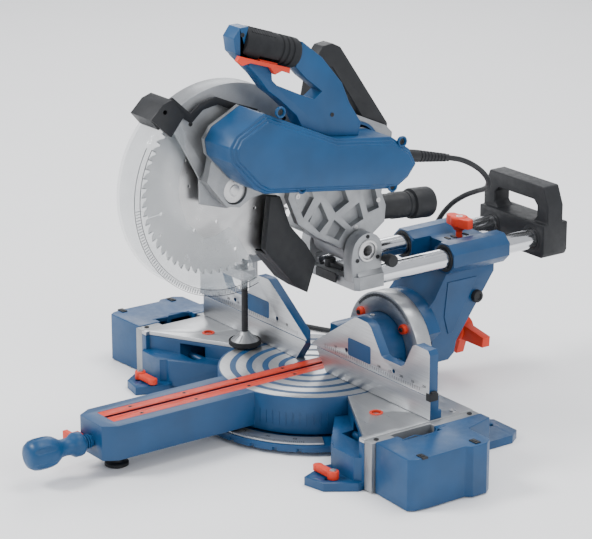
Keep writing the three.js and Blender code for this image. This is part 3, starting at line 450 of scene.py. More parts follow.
def arc(a, b, radius, start, end, steps):
    """Points on an arc, both ends included, in degrees."""
    turn = [math.radians(start + (end - start) * i / steps) for i in range(steps + 1)]
    return [(a + radius * math.cos(t), b + radius * math.sin(t)) for t in turn]


def grow(outline, distance):
    """An outline moved outwards, or inwards where the distance is negative."""
    points = [Vector(p) for p in outline]
    area = sum(p.x * q.y - q.x * p.y for p, q in zip(points, points[1:] + points[:1]))
    side = math.copysign(distance, distance * area)
    moved = []
    for before, point, after in zip(points[-1:] + points[:-1], points, points[1:] + points[:1]):
        u = (point - before).normalized()
        v = (after - point).normalized()
        scale = side / (1 + u.dot(v))
        moved.append((point.x + (u.y + v.y) * scale, point.y - (u.x + v.x) * scale))
    return moved


def rounded(a0, a1, b0, b1, radius, steps=5):
    """A rectangle with round corners."""
    corners = [
        (a1 - radius, b1 - radius, 0), (a0 + radius, b1 - radius, 90), (a0 + radius, b0 + radius, 180),
        (a1 - radius, b0 + radius, 270),
    ]
    return [p for a, b, start in corners for p in arc(a, b, radius, start, start + 90, steps)]


def polished(obj, width, segments=2, angle=32.0):
    """Breaks the edges of an object's mesh and shades its round faces smooth."""
    bevel = obj.modifiers.new("edge", "BEVEL")
    bevel.width = width * MM
    bevel.segments = segments
    bevel.limit_method = "ANGLE"
    bevel.angle_limit = math.radians(angle)
    bevel.harden_normals = True
    bevel.use_clamp_overlap = True
    for face in obj.data.polygons:
        face.use_smooth = True
    settle(obj)


def settle(obj):
    """Replaces an object's mesh with what its modifiers make of it."""
    bpy.context.view_layer.update()
    depsgraph = bpy.context.evaluated_depsgraph_get()
    made = bpy.data.meshes.new_from_object(
        obj.evaluated_get(depsgraph), preserve_all_data_layers=True, depsgraph=depsgraph,
    )
    obj.modifiers.clear()
    old = obj.data
    obj.data = made
    bpy.data.meshes.remove(old)


def smooth_by_angle(obj, angle=38.0):
    """Shades faces smooth except across edges sharper than an angle."""
    bm = bmesh.new()
    bm.from_mesh(obj.data)
    for face in bm.faces:
        face.smooth = True
    for edge in bm.edges:
        edge.smooth = len(edge.link_faces) == 2 and edge.calc_face_angle() < math.radians(angle)
    bm.to_mesh(obj.data)
    bm.free()


def finished(name, bm, body, slot, material=None, edge=0.0, segments=2, stands_for=(), scale=MM):
    """Makes a piece from a mesh, gives it its finish and edges, and lets it ride on a body."""
    bmesh.ops.recalc_face_normals(bm, faces=bm.faces)
    if scale != 1:
        bmesh.ops.scale(bm, vec=(scale,) * 3, verts=bm.verts)
    mesh = bpy.data.meshes.new(name)
    bm.to_mesh(mesh)
    bm.free()
    obj = bpy.data.objects.new(name, mesh)
    bpy.context.scene.collection.objects.link(obj)
    obj.data.materials.append(MATERIALS[material or slot])
    if edge:
        polished(obj, edge, segments)
    else:
        smooth_by_angle(obj)
    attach(obj, body)
    if stands_for:
        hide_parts(*stands_for)
    return obj


BODY_OF = {n: b for b, members in frame["record"]["behaviour"]["bodies"].items() for n in members}
SLOT_OF = {part["node"]: part["material_slot"] for part in frame["record"]["subparts"]}


def refined(node, edge, material=None, segments=2, name=None):
    """A CAD node's own shape as a finished piece, with its edges broken."""
    bm = bmesh.new()
    bm.from_mesh(frame["nodes"][node].data)
    bmesh.ops.remove_doubles(bm, verts=bm.verts, dist=2e-5)
    bmesh.ops.dissolve_limit(bm, angle_limit=math.radians(1.0), verts=bm.verts, edges=bm.edges)
    return finished(
        name or f"{node}_finished", bm, BODY_OF[node], SLOT_OF[node], material, edge, segments, [node],
        scale=1,
    )


def dress(node, material=None):
    """Gives a CAD node that stays in view its finish."""
    data = frame["nodes"][node].data
    data.materials.clear()
    data.materials.append(MATERIALS[material or SLOT_OF[node]])


# ---- geometry node trees ----


class Flow:
    """A geometry node tree under construction, with named inputs."""

    def __init__(self, name, **inputs):
        self.tree = bpy.data.node_groups.new(name, "GeometryNodeTree")
        face = self.tree.interface
        face.new_socket(name="Geometry", in_out="INPUT", socket_type="NodeSocketGeometry")
        for key, value in inputs.items():
            kind = {int: "NodeSocketInt", float: "NodeSocketFloat"}.get(type(value), "NodeSocketMaterial")
            socket = face.new_socket(name=key.replace("_", " "), in_out="INPUT", socket_type=kind)
            if value is not None:
                socket.default_value = value
        face.new_socket(name="Geometry", in_out="OUTPUT", socket_type="NodeSocketGeometry")
        self.input = self.tree.nodes.new("NodeGroupInput").outputs
        self.output = self.tree.nodes.new("NodeGroupOutput")

    def link(self, source, target):
        self.tree.links.new(source, target)

    def node(self, kind, settings=None, **values):
        made = self.tree.nodes.new(kind)
        for key, value in (settings or {}).items():
            setattr(made, key, value)
        for key, value in values.items():
            socket = made.inputs[int(key[1:])] if key[0] == "i" and key[1:].isdigit() else made.inputs[
                key.replace("_", " ")
            ]
            if isinstance(value, bpy.types.NodeSocket):
                self.link(value, socket)
            else:
                socket.default_value = value
        return made

    def math(self, operation, a, b=0.0):
        return self.node("ShaderNodeMath", {"operation": operation}, i0=a, i1=b).outputs[0]

    def vector(self, x=0.0, y=0.0, z=0.0):
        return self.node("ShaderNodeCombineXYZ", X=x, Y=y, Z=z).outputs[0]

    def finish(self, instances):
        """Realize the copies and set their material: every tree ends so."""
        solid = self.node("GeometryNodeRealizeInstances", Geometry=instances).outputs[0]
        painted = self.node(
            "GeometryNodeSetMaterial", Geometry=solid, Material=self.input["Material"],
        ).outputs[0]
        self.link(painted, self.output.inputs[0])
        return self.tree


def screw_tree():
    """A socket-headed screw at each vertex, its axis along the vertex's facing attribute."""
    f = Flow("socket_screws", Head_Radius=0.004, Head_Height=0.002, Socket=0.5, Material=None)
    head = f.node(
        "GeometryNodeMeshCylinder", Vertices=28, Radius=f.input["Head Radius"],
        Depth=f.input["Head Height"],
    )
    key = f.node(
        "GeometryNodeMeshCylinder", Vertices=6,
        Radius=f.math("MULTIPLY", f.input["Head Radius"], f.input["Socket"]),
        Depth=f.input["Head Height"],
    )
    raised = f.node(
        "GeometryNodeTransform", Geometry=key.outputs[0],
        Translation=f.vector(z=f.math("MULTIPLY", f.input["Head Height"], 0.45)),
    )
    hollow = f.node(
        "GeometryNodeMeshBoolean", {"operation": "DIFFERENCE"}, i0=head.outputs[0], i1=raised.outputs[0],
    )
    facing = f.node(
        "GeometryNodeInputNamedAttribute", {"data_type": "FLOAT_VECTOR"}, Name="facing",
    ).outputs[0]
    turn = f.node("FunctionNodeAlignRotationToVector", {"axis": "Z"}, Vector=facing).outputs[0]
    spread = f.node(
        "GeometryNodeInstanceOnPoints", Points=f.input["Geometry"], Instance=hollow.outputs[0],
        Rotation=turn,
    )
    return f.finish(spread.outputs[0])


def ring_tree():
    """Bars spaced round a circle about Z; every so many is longer."""
    f = Flow(
        "bars_round_a_circle", Count=31, Radius=0.1, First_Angle=0.0, Step_Angle=1.0, Length=0.004,
        Width=0.0005, Height=0.0004, Long_Every=5, Long_Factor=1.6, Material=None,
    )
    points = f.node(
        "GeometryNodeMeshLine", {"mode": "OFFSET"}, Count=f.input["Count"], Offset=(0, 0, 0),
    ).outputs[0]
    index = f.node("GeometryNodeInputIndex").outputs[0]
    angle = f.math("ADD", f.input["First Angle"], f.math("MULTIPLY", index, f.input["Step Angle"]))
    radians = f.math("RADIANS", angle)
    x = f.math("MULTIPLY", f.input["Radius"], f.math("COSINE", radians))
    y = f.math("MULTIPLY", f.input["Radius"], f.math("SINE", radians))
    placed = f.node("GeometryNodeSetPosition", Geometry=points, Position=f.vector(x, y)).outputs[0]
    bar = f.node(
        "GeometryNodeMeshCube", Size=f.vector(f.input["Length"], f.input["Width"], f.input["Height"]),
    ).outputs[0]
    whole = f.math("COMPARE", f.math("MODULO", index, f.input["Long Every"]), 0.0)
    grow_by = f.math("ADD", 1.0, f.math("MULTIPLY", whole, f.math("SUBTRACT", f.input["Long Factor"], 1.0)))
    turn = f.node("FunctionNodeEulerToRotation", Euler=f.vector(z=radians)).outputs[0]
    spread = f.node(
        "GeometryNodeInstanceOnPoints", Points=placed, Instance=bar, Rotation=turn,
        Scale=f.vector(grow_by, 1.0, 1.0),
    )
    return f.finish(spread.outputs[0])


def row_tree():
    """Bars in a straight row along X, standing in Z; every so many is longer."""
    f = Flow(
        "bars_in_a_row", Count=20, Step=0.005, Length=0.004, Width=0.0005, Height=0.0004, Long_Every=5,
        Long_Factor=1.6, Material=None,
    )
    points = f.node(
        "GeometryNodeMeshLine", {"mode": "OFFSET"}, Count=f.input["Count"],
        Offset=f.vector(f.input["Step"]),
    ).outputs[0]
    index = f.node("GeometryNodeInputIndex").outputs[0]
    bar = f.node(
        "GeometryNodeMeshCube", Size=f.vector(f.input["Width"], f.input["Height"], f.input["Length"]),
    ).outputs[0]
    whole = f.math("COMPARE", f.math("MODULO", index, f.input["Long Every"]), 0.0)
    grow_by = f.math("ADD", 1.0, f.math("MULTIPLY", whole, f.math("SUBTRACT", f.input["Long Factor"], 1.0)))
    spread = f.node(
        "GeometryNodeInstanceOnPoints", Points=points, Instance=bar, Scale=f.vector(1.0, 1.0, grow_by),
    )
    return f.finish(spread.outputs[0])


TREES = {}


def grown(name, tree, body, slot, material, seed_mesh=None, at=None, **values):
    """Runs a node tree, puts what it makes in its place and lets it ride on a body."""
    makers = {"screws": screw_tree, "ring": ring_tree, "row": row_tree}
    if tree not in TREES:
        TREES[tree] = makers[tree]()
    group = TREES[tree]
    obj = bpy.data.objects.new(name, seed_mesh or bpy.data.meshes.new(name))
    bpy.context.scene.collection.objects.link(obj)
    modifier = obj.modifiers.new("flow", "NODES")
    modifier.node_group = group
    known = {s.name: s.identifier for s in group.interface.items_tree if s.in_out == "INPUT"}
    modifier[known["Material"]] = MATERIALS[material]
    for key, value in values.items():
        modifier[known[key.replace("_", " ")]] = value
    settle(obj)
    if at is not None:
        obj.data.transform(at)
    smooth_by_angle(obj)
    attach(obj, body)
    return obj


def screws(name, body, places, radius=4.0, height=2.2, socket=0.5, material="steel"):
    """Socket-headed screws at (point, facing) pairs, in millimetres."""
    mesh = bpy.data.meshes.new(name)
    mesh.from_pydata([Vector(point) * MM for point, _ in places], [], [])
    facing = mesh.attributes.new("facing", "FLOAT_VECTOR", "POINT")
    for i, (_, direction) in enumerate(places):
        facing.data[i].vector = Vector(direction).normalized()
    slot = "steel" if material == "steel" else "black_plastic"
    return grown(
        name, "screws", body, slot, material, mesh, Head_Radius=radius * MM, Head_Height=height * MM,
        Socket=socket,
    )


def figures(name, body, marks, size, material="ink", thick=0.15):
    """Numerals on a scale: each mark is a text with the matrix that sets it in place, in millimetres."""
    bm = bmesh.new()
    for text, matrix in marks:
        curve = bpy.data.curves.new(name, "FONT")
        curve.body = text
        curve.size = size
        curve.align_x = "CENTER"
        curve.align_y = "CENTER"
        curve.extrude = thick
        curve.resolution_u = 3
        carrier = bpy.data.objects.new(name, curve)
        bpy.context.scene.collection.objects.link(carrier)
        bpy.context.view_layer.update()
        shape = bpy.data.meshes.new_from_object(carrier.evaluated_get(bpy.context.evaluated_depsgraph_get()))
        shape.transform(matrix)
        bm.from_mesh(shape)
        bpy.data.objects.remove(carrier)
        bpy.data.curves.remove(curve)
        bpy.data.meshes.remove(shape)
    bmesh.ops.remove_doubles(bm, verts=bm.verts, dist=1e-4)
    return finished(name, bm, body, "black_plastic", material)


# ---- the operators: one for each piece or group of like pieces ----


class SawOperator(bpy.types.Operator):
    """Shared parts of the saw's operators."""

    bl_options = {"REGISTER", "UNDO"}

    def execute(self, context):
        self.make(context.scene.saw_sizes, context.scene.saw_colours)
        return {"FINISHED"}


class SAW_OT_stage(SawOperator):
    """Sets the floor, the soft lights, the pale surround and the camera."""

    bl_idname = "saw.stage"
    bl_label = "Stage"

    def make(self, sizes, colours):
        make_materials(colours)
        ground = Shader("pale_floor", 0.75)
        ground.set(
            "Base Color", ground.blend(ground.noise(3, 2), (0.93, 0.93, 0.93, 1), (0.96, 0.96, 0.96, 1)),
        )
        mesh = bpy.data.meshes.new("floor")
        reach = 9.0
        corners = [(-reach, -reach, 0), (reach, -reach, 0), (reach, reach, 0), (-reach, reach, 0)]
        mesh.from_pydata([Vector(c) - Vector((0, 0, 0.0004)) for c in corners], [], [(0, 1, 2, 3)])
        mesh.materials.append(ground.material)
        floor = bpy.data.objects.new("floor", mesh)
        bpy.context.scene.collection.objects.link(floor)
        world = bpy.data.worlds.new("surround")
        world.use_nodes = True
        world.node_tree.nodes["Background"].inputs["Color"].default_value = (0.93, 0.95, 1.0, 1)
        world.node_tree.nodes["Background"].inputs["Strength"].default_value = 0.85
        bpy.context.scene.world = world
        for name, spot, power, size in (
            ("key_light", (-1.2, -2.4, 2.8), 112, 1.1),
            ("side_light", (2.9, -0.2, 1.6), 30, 1.4),
            ("top_light", (0.3, 0.9, 3.0), 60, 1.6),
            ("rear_light", (-2.4, 1.6, 1.9), 26, 1.4),
        ):
            lamp = bpy.data.lights.new(name, "AREA")
            lamp.energy = power
            lamp.size = size
            carrier = bpy.data.objects.new(name, lamp)
            carrier.location = spot
            aim = Vector((0, 0, 0.25)) - Vector(spot)
            carrier.rotation_euler = aim.to_track_quat("-Z", "Y").to_euler()
            bpy.context.scene.collection.objects.link(carrier)
        lens = bpy.data.cameras.new("camera")
        lens.lens = 151.2
        lens.sensor_width = 36
        camera = bpy.data.objects.new("camera", lens)
        camera.location = (2.7173, -2.0095, 1.3112)
        back = Vector((0.7687, -0.5609, 0.3074))
        camera.rotation_euler = (-back).to_track_quat("-Z", "Y").to_euler()
        bpy.context.scene.collection.objects.link(camera)
        bpy.context.scene.camera = camera


# The lead's way from its strain relief over the column and down to the bench, in millimetres.
LEAD_ROUTE = [
    (60, 200.4, 365.9), (60, 224, 359), (58, 250, 346), (50, 278, 326), (34, 300, 305), (10, 314, 289),
    (-18, 320, 277), (-48, 320, 262), (-76, 316, 240), (-96, 310, 210), (-108, 304, 174), (-114, 298, 136),
    (-118, 293, 98), (-121, 291, 70), (-125, 289, 48), (-137, 285, 26), (-155, 279, 11), (-180, 270, 5.4),
    (-212, 257, 4.6), (-246, 241, 4.6), (-276, 226, 4.5), (-306, 213, 4.4), (-331, 203.4, 4.3),
]
OUTER_TURN = 48.4
INNER_TURN = 40.1
FIRST_LAYER = 4.3
SECOND_LAYER = 12.6
THIRD_LAYER = 20.8
# Where the coil's turn stands at each angle: degrees, radius and height.
COIL_STATIONS = [
    (113.4, OUTER_TURN, FIRST_LAYER),
    (413.4, OUTER_TURN, FIRST_LAYER),
    (473.4, INNER_TURN, FIRST_LAYER),
    (713.4, INNER_TURN, FIRST_LAYER),
    (773.4, INNER_TURN, SECOND_LAYER),
    (1013.4, INNER_TURN, SECOND_LAYER),
    (1073.4, OUTER_TURN, SECOND_LAYER),
    (1313.4, OUTER_TURN, SECOND_LAYER),
    (1373.4, OUTER_TURN, THIRD_LAYER),
    (1465.0, OUTER_TURN, THIRD_LAYER),
]


def coil_point(centre, angle):
    """A point on the wound lead at an angle along its turns."""
    for (a0, r0, h0), (a1, r1, h1) in zip(COIL_STATIONS, COIL_STATIONS[1:]):
        if angle <= a1:
            break
    t = (angle - a0) / (a1 - a0)
    t = t * t * (3 - 2 * t)
    radius = r0 + (r1 - r0) * t
    turn = math.radians(angle)
    return centre + Vector((radius * math.cos(turn), radius * math.sin(turn), h0 + (h1 - h0) * t))


class SAW_OT_mains_lead(SawOperator):
    """Makes the mains lead with its wound length, its plug and its strain relief."""

    bl_idname = "saw.mains_lead"
    bl_label = "Mains lead"

    def make(self, sizes, colours):
        lo, hi = low("cord_coil"), high("cord_coil")
        centre = Vector(((lo.x + hi.x) / 2, (lo.y + hi.y) / 2, 0))
        first, last = COIL_STATIONS[0][0], COIL_STATIONS[-1][0]
        steps = round((last - first) / 360 * sizes.turn_points)
        wound = [coil_point(centre, first + (last - first) * i / steps) for i in range(steps + 1)]
        entry = Vector(
            (
                (low("plug").x + high("plug").x) / 2, high("plug").y + GAP,
                (low("plug").z + high("plug").z) / 2,
            )
        )
        leaving = math.radians(last + 90)
        ahead = Vector((math.cos(leaving), math.sin(leaving), 0))
        reach = (entry - wound[-1]).length
        tail = []
        for i in range(1, 7):
            t = i / 6
            p0, p1 = wound[-1], wound[-1] + ahead * reach * 0.42
            p2, p3 = entry + Vector((0, reach * 0.30, 0)), entry
            tail.append(
                p0 * (1 - t) ** 3 + p1 * 3 * t * (1 - t) ** 2 + p2 * 3 * t * t * (1 - t) + p3 * t ** 3
            )
        route = [Vector(p) for p in LEAD_ROUTE] + wound + tail
        curve = bpy.data.curves.new("mains_lead", "CURVE")
        curve.dimensions = "3D"
        curve.bevel_depth = CORD_RADIUS * MM
        curve.bevel_resolution = 4
        curve.resolution_u = 5
        curve.use_fill_caps = True
        spline = curve.splines.new("BEZIER")
        spline.bezier_points.add(len(route) - 1)
        for point, where in zip(spline.bezier_points, route):
            point.co = where * MM
            point.handle_left_type = "AUTO"
            point.handle_right_type = "AUTO"
        curve.materials.append(MATERIALS["lead_jacket"])
        lead = bpy.data.objects.new("mains_lead", curve)
        bpy.context.scene.collection.objects.link(lead)
        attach(lead, "base")
        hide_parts("power_cord", "cord_coil")
        plug = self.plug()
        self.tie(centre)
        self.relief()

    def plug(self):
        """A moulded plug with a finger grip, a sleeve and two pins."""
        lo, hi = low("plug"), high("plug")
        x, z = (lo.x + hi.x) / 2, (lo.z + hi.z) / 2
        bm = bmesh.new()
        rings = []
        for y, half_x, half_z in (
            (0, 6, 6), (6, 8, 7.5), (9, 11, 10), (14, 14, 13), (33.4, 14, 13), (34, 13.4, 12.4),
        ):
            outline = rounded(x - half_x, x + half_x, z - half_z, z + half_z, min(half_x, half_z) * 0.55)
            rings.append([(a, hi.y - y, b) for a, b in outline])
        skin(bm, rings)
        for side in (-9, 9):
            cylinder(bm, (x + side, hi.y - 33, z), (x + side, lo.y, z), 2.4, 20, 0.6)
        return finished("mains_plug", bm, "base", "black_plastic", edge=0.4, stands_for=["plug"])

    def tie(self, centre):
        """A strap that holds the turns together."""
        bm = bmesh.new()
        outline = rounded(35.5, 52.5, 0.2, 25.0, 3.2)
        inner = grow(outline, -0.9)
        for turn in (math.radians(20), math.radians(215)):
            aim = Vector((math.cos(turn), math.sin(turn), 0))
            across = Vector((-aim.y, aim.x, 0))
            rings = []
            for loop, side in ((outline, -5), (outline, 5), (inner, 5), (inner, -5)):
                rings.append([centre + aim * a + across * side + Vector((0, 0, b)) for a, b in loop])
            skin(bm, rings, closed=True)
        finished("lead_tie", bm, "base", "black_plastic", "grip_rubber")

    def relief(self):
        """A tapered sleeve with rings of slots that lets the lead bend."""
        start, end = Vector((60, 107, 385)), Vector((60, 200, 366))
        along = end - start
        length = along.length
        profile = [(7.2, 0), (9, 0.6), (9, 32)]
        for i in range(9):
            at = 34 + i * 6.4
            radius = 9 - 3.4 * (at - 32) / (length - 32)
            profile += [(radius, at), (radius, at + 3.4), (radius - 1.5, at + 3.9), (radius - 1.5, at + 5.6)]
        profile += [(5.5, length - 0.6), (4.3, length)]
        bm = bmesh.new()
        lathe(bm, start, along, profile, 32)
        finished("bend_sleeve", bm, "head", "black_plastic", stands_for=["strain_relief"])


def about_x(centre):
    """Turns a ring made about Z into one about X with its middle at a point, in millimetres."""
    turn = Matrix(((0, 0, 1, 0), (1, 0, 0, 0), (0, 1, 0, 0), (0, 0, 0, 1)))
    return Matrix.Translation(Vector(centre) * MM) @ turn


def moved(x, y, z):
    """A shift, in millimetres."""
    return Matrix.Translation(Vector((x, y, z)) * MM)


def polar(centre, radius, angle):
    """A point about a centre of two numbers, in degrees."""
    turn = math.radians(angle)
    return centre[0] + radius * math.cos(turn), centre[1] + radius * math.sin(turn)


def carved(obj, tools):
    """Cuts a mesh of tools, in millimetres, out of a finished piece."""
    bmesh.ops.recalc_face_normals(tools, faces=tools.faces)
    bmesh.ops.scale(tools, vec=(MM,) * 3, verts=tools.verts)
    mesh = bpy.data.meshes.new("tools")
    tools.to_mesh(mesh)
    tools.free()
    cutter = bpy.data.objects.new("tools", mesh)
    bpy.context.scene.collection.objects.link(cutter)
    cut = obj.modifiers.new("cut", "BOOLEAN")
    cut.object = cutter
    cut.solver = "EXACT"
    cut.use_self = True
    settle(obj)
    bpy.data.objects.remove(cutter)
    bpy.data.meshes.remove(mesh)
    smooth_by_angle(obj)
    return obj


class SAW_OT_base(SawOperator):
    """Finishes the base casting, its bright table plates, side frames and mitre scale."""

    bl_idname = "saw.base"
    bl_label = "Base"

    def make(self, sizes, colours):
        edge = sizes.casting_edge
        refined("base_casting", 1.2 * edge)
        for side, name in ((-1, "left"), (1, "right")):
            refined(f"{name}_side_frame", 0.7 * edge)
            refined(f"{name}_table_plate", 0.4 * edge)
            refined(f"{name}_cam_lever", 0.4 * sizes.plastic_edge)
            bm = bmesh.new()
            lathe(
                bm, (side * 205, -40, TABLE), (0, 0, 1),
                [(6.6, -3), (9.5, -0.0), (9.5, 0.7), (8.8, 1.1), (6.6, 0.9)], 48, closed=True,
            )
            finished(f"{name}_insert_ring", bm, "base", "orange_plastic")
            screws(f"{name}_plate_screws", "base", [
                ((side * 205, -40, TABLE - 2.5), (0, 0, 1)), ((side * 262, 50, TABLE + 0.4), (0, 0, 1)),
            ], 5.2, 2.0)
            screws(f"{name}_frame_screws", "base", [
                ((side * 282.3, y, 73.6), (0, 0, 1)) for y in (-100, 62)
            ], 3.6, 1.6, material="black_plastic")
            screws(f"{name}_lever_pin", "base", [((side * 240, -140, 24.4), (0, 0, 1))], 4.6, 1.6)
        refined("mitre_scale", 0.3)
        values = dict(
            Count=101, Radius=0.1605, First_Angle=220.0, Step_Angle=1.0, Length=0.0048, Width=0.0005,
            Height=0.0003, Long_Every=5, Long_Factor=1.5,
        )
        grown("mitre_graduations", "ring", "base", "black_plastic", "ink", at=moved(0, 0, 19.1), **values)
        marks = []
        for degrees in range(-45, 46, 15):
            turn = math.radians(degrees)
            spot = Vector((150.6 * math.sin(turn), -150.6 * math.cos(turn), 19.05))
            marks.append((str(abs(degrees)), Matrix.Translation(spot) @ Matrix.Rotation(turn, 4, "Z")))
        figures("mitre_figures", "base", marks, 6.5)


class SAW_OT_end_blocks(SawOperator):
    """Finishes the two sliding end blocks and their small fittings."""

    bl_idname = "saw.end_blocks"
    bl_label = "End blocks"

    def make(self, sizes, colours):
        for side, name in ((-1, "left"), (1, "right")):
            body = f"{name}_extension"
            refined(body, 1.8 * sizes.casting_edge, segments=3)
            x_out = abs(low(body).x if side < 0 else high(body).x)
            bm = bmesh.new()
            for y in (-94, -4):
                block(bm, side * (x_out - 20), side * (x_out - 5), y, y + 9, TABLE - 1.5, TABLE + 1.6)
                block(bm, side * (x_out - 17), side * (x_out - 9), y + 2, y + 7, TABLE, TABLE + 2.4)
            finished(f"{name}_block_clips", bm, body, "black_plastic", edge=0.5)
            # A raised line that steps outwards across the top.
            zigzag = [(306, -74), (302, -50), (312, -40), (308, -18), (300, -10), (298, 6)]
            rings = []
            for a, b in zigzag:
                rings.append(
                    [
                        (side * (a - 1.4), b, TABLE - 0.4), (side * (a + 1.4), b, TABLE - 0.4),
                        (side * (a + 0.8), b, TABLE + 0.6), (side * (a - 0.8), b, TABLE + 0.6),
                    ]
                )
            bm = bmesh.new()
            skin(bm, rings)
            finished(f"{name}_block_line", bm, body, "blue_paint")


class SAW_OT_fences(SawOperator):
    """Finishes the two-part fences with their graduations, bolts, placards and latch."""

    bl_idname = "saw.fences"
    bl_label = "Fences"

    def make(self, sizes, colours):
        seam = high("left_lower_fence").z
        for side, name in ((-1, "left"), (1, "right")):
            refined(f"{name}_lower_fence", 0.5 * sizes.casting_edge, "fence")
            refined(f"{name}_upper_fence", 1.2 * sizes.casting_edge, "fence", 3)
            upper = f"{name}_upper_fence"
            values = dict(
                Count=44, Step=side * 0.005, Length=0.0042, Width=0.0006, Height=0.0003, Long_Every=5,
                Long_Factor=1.7,
            )
            grown(
                f"{name}_fence_ticks", "row", upper, "black_plastic", "ink",
                at=moved(side * FIRST_TICK, 0.05, seam + 6.5), **values
            )
            marks = []
            for i in range(1, 10):
                spot = Vector((side * (FIRST_TICK + FIGURE_STEP * i), -0.05, seam + 12.5))
                marks.append(
                    (
                        str((i + 1) * FIGURE_STEP),
                        Matrix.Translation(spot) @ Matrix.Rotation(math.radians(90), 4, "X"),
                    )
                )
            figures(f"{name}_fence_figures", upper, marks, 5.0)
            screws(
                f"{name}_fence_bolts", "base", [((side * x, 20.6, 92), (0, 1, 0)) for x in (205, 250)], 6,
                3,
            )
            # A plain placard in a shallow frame where the saw carries its guidance plate.
            bm = bmesh.new()
            x0, x1 = (-158, -104) if side < 0 else (88, 140)
            prism(bm, "y", rounded(x0, x1, 116, 142, 3), -0.35, 0.2)
            finished(f"{name}_fence_placard", bm, upper, "blue_plastic", edge=0.15)
        bm = bmesh.new()
        block(bm, 264, 273.4, -1.0, 14, seam - 6, seam + 5)
        block(bm, 267, 274, 2, 11, seam + 4.4, seam + 8)
        finished("right_fence_latch", bm, "base", "black_plastic", edge=0.8)


class SAW_OT_work_clamp(SawOperator):
    """Makes the work clamp: post, arm, screw with its pad, and knob."""

    bl_idname = "saw.work_clamp"
    bl_label = "Work clamp"

    def make(self, sizes, colours):
        refined("clamp_post", 0.5)
        refined("clamp_arm", 2.2, segments=3)
        lo, hi = low("clamp_screw"), high("clamp_screw")
        x, y = (lo.x + hi.x) / 2, (lo.y + hi.y) / 2
        bm = bmesh.new()
        profile = [(0, 90.5), (5, 90.5)]
        for i in range(34):
            z = 92 + i * 3.2
            profile += [(5, z), (4.5, z + 0.8), (4.5, z + 1.6), (5, z + 2.4)]
        profile += [(5, hi.z - 1), (4, hi.z), (0, hi.z)]
        lathe(bm, (x, y, 0), (0, 0, 1), profile, 32)
        finished("clamp_rod", bm, "clamp_screw", "black_plastic", stands_for=["clamp_screw"])
        bm = bmesh.new()
        lathe(
            bm, (x, y, 0), (0, 0, 1),
            [(0, 82.8), (21.6, 82.8), (20.5, 84.2), (9.4, 92), (7.4, 97), (6.4, 97.6), (0, 97.6)], 72,
        )
        for i in range(12):
            turn = math.radians(30 * i)
            aim, across = Vector((math.cos(turn), math.sin(turn), 0)), Vector(
                (-math.sin(turn), math.cos(turn), 0)
            )
            middle = Vector((x, y, 0))
            corners = [(8.0, 91), (19.6, 83.4), (19.6, 85.4), (8.6, 93.4)]
            skin(
                bm,
                [
                    [middle + aim * a + across * w + Vector((0, 0, h)) for a, h in corners]
                    for w in (-0.8, 0.8)
                ],
            )
        finished("clamp_pad", bm, "clamp_screw", "cast_aluminium")
        bm = bmesh.new()
        lathe(
            bm, (x, y, 0), (0, 0, 1),
            [(0, 77), (23, 77), (24, 78), (24, 83.6), (23, 84.6), (21.8, 84.6), (21.4, 82.4), (0, 82.4)],
            72,
        )
        finished("clamp_pad_rim", bm, "clamp_screw", "grip_rubber")
        bm = bmesh.new()
        centre = (low("clamp_knob") + high("clamp_knob")) / 2
        lathe(
            bm, (centre.x, high("clamp_knob").y, centre.z), (0, -1, 0),
            [(0, 0), (10.5, 0), (12, 1.5), (12, 11), (10.6, 13), (7.2, 14), (6.4, 12), (0, 12)], 48,
        )
        finished("clamp_wheel", bm, "clamp_knob", "black_plastic", stands_for=["clamp_knob"])
        bm = bmesh.new()
        lathe(
            bm, (centre.x, low("clamp_knob").y + 2.2, centre.z), (0, -1, 0),
            [(0, 0), (6, 0), (6, 1.2), (5, 2), (0, 2)], 32,
        )
        finished("clamp_wheel_cap", bm, "clamp_knob", "black_plastic", "pale_ink")
        bm = bmesh.new()
        post = (low("clamp_post") + high("clamp_post")) / 2
        top = high("clamp_arm").z + GAP
        lathe(
            bm, (post.x, post.y, top), (0, 0, 1),
            [(7.4, 0), (11.5, 0), (12, 0.8), (12, 9), (10.6, 10.6), (7.4, 10.6)], 40, closed=True,
        )
        for turn in (math.radians(40), math.radians(-80)):
            aim, across = Vector((math.cos(turn), math.sin(turn), 0)), Vector(
                (-math.sin(turn), math.cos(turn), 0)
            )
            middle = Vector((post.x, post.y, top + 5))
            rings = [
                [
                    middle + aim * r + across * w + Vector((0, 0, h))
                    for w, h in rounded(-wide, wide, -4, 4, 1.6, 3)
                ]
                for r, wide in ((10.5, 5), (20, 4.2), (26, 3.2), (27.2, 2.0))
            ]
            skin(bm, rings)
        finished("clamp_quick_release", bm, "clamp_arm", "orange_plastic")


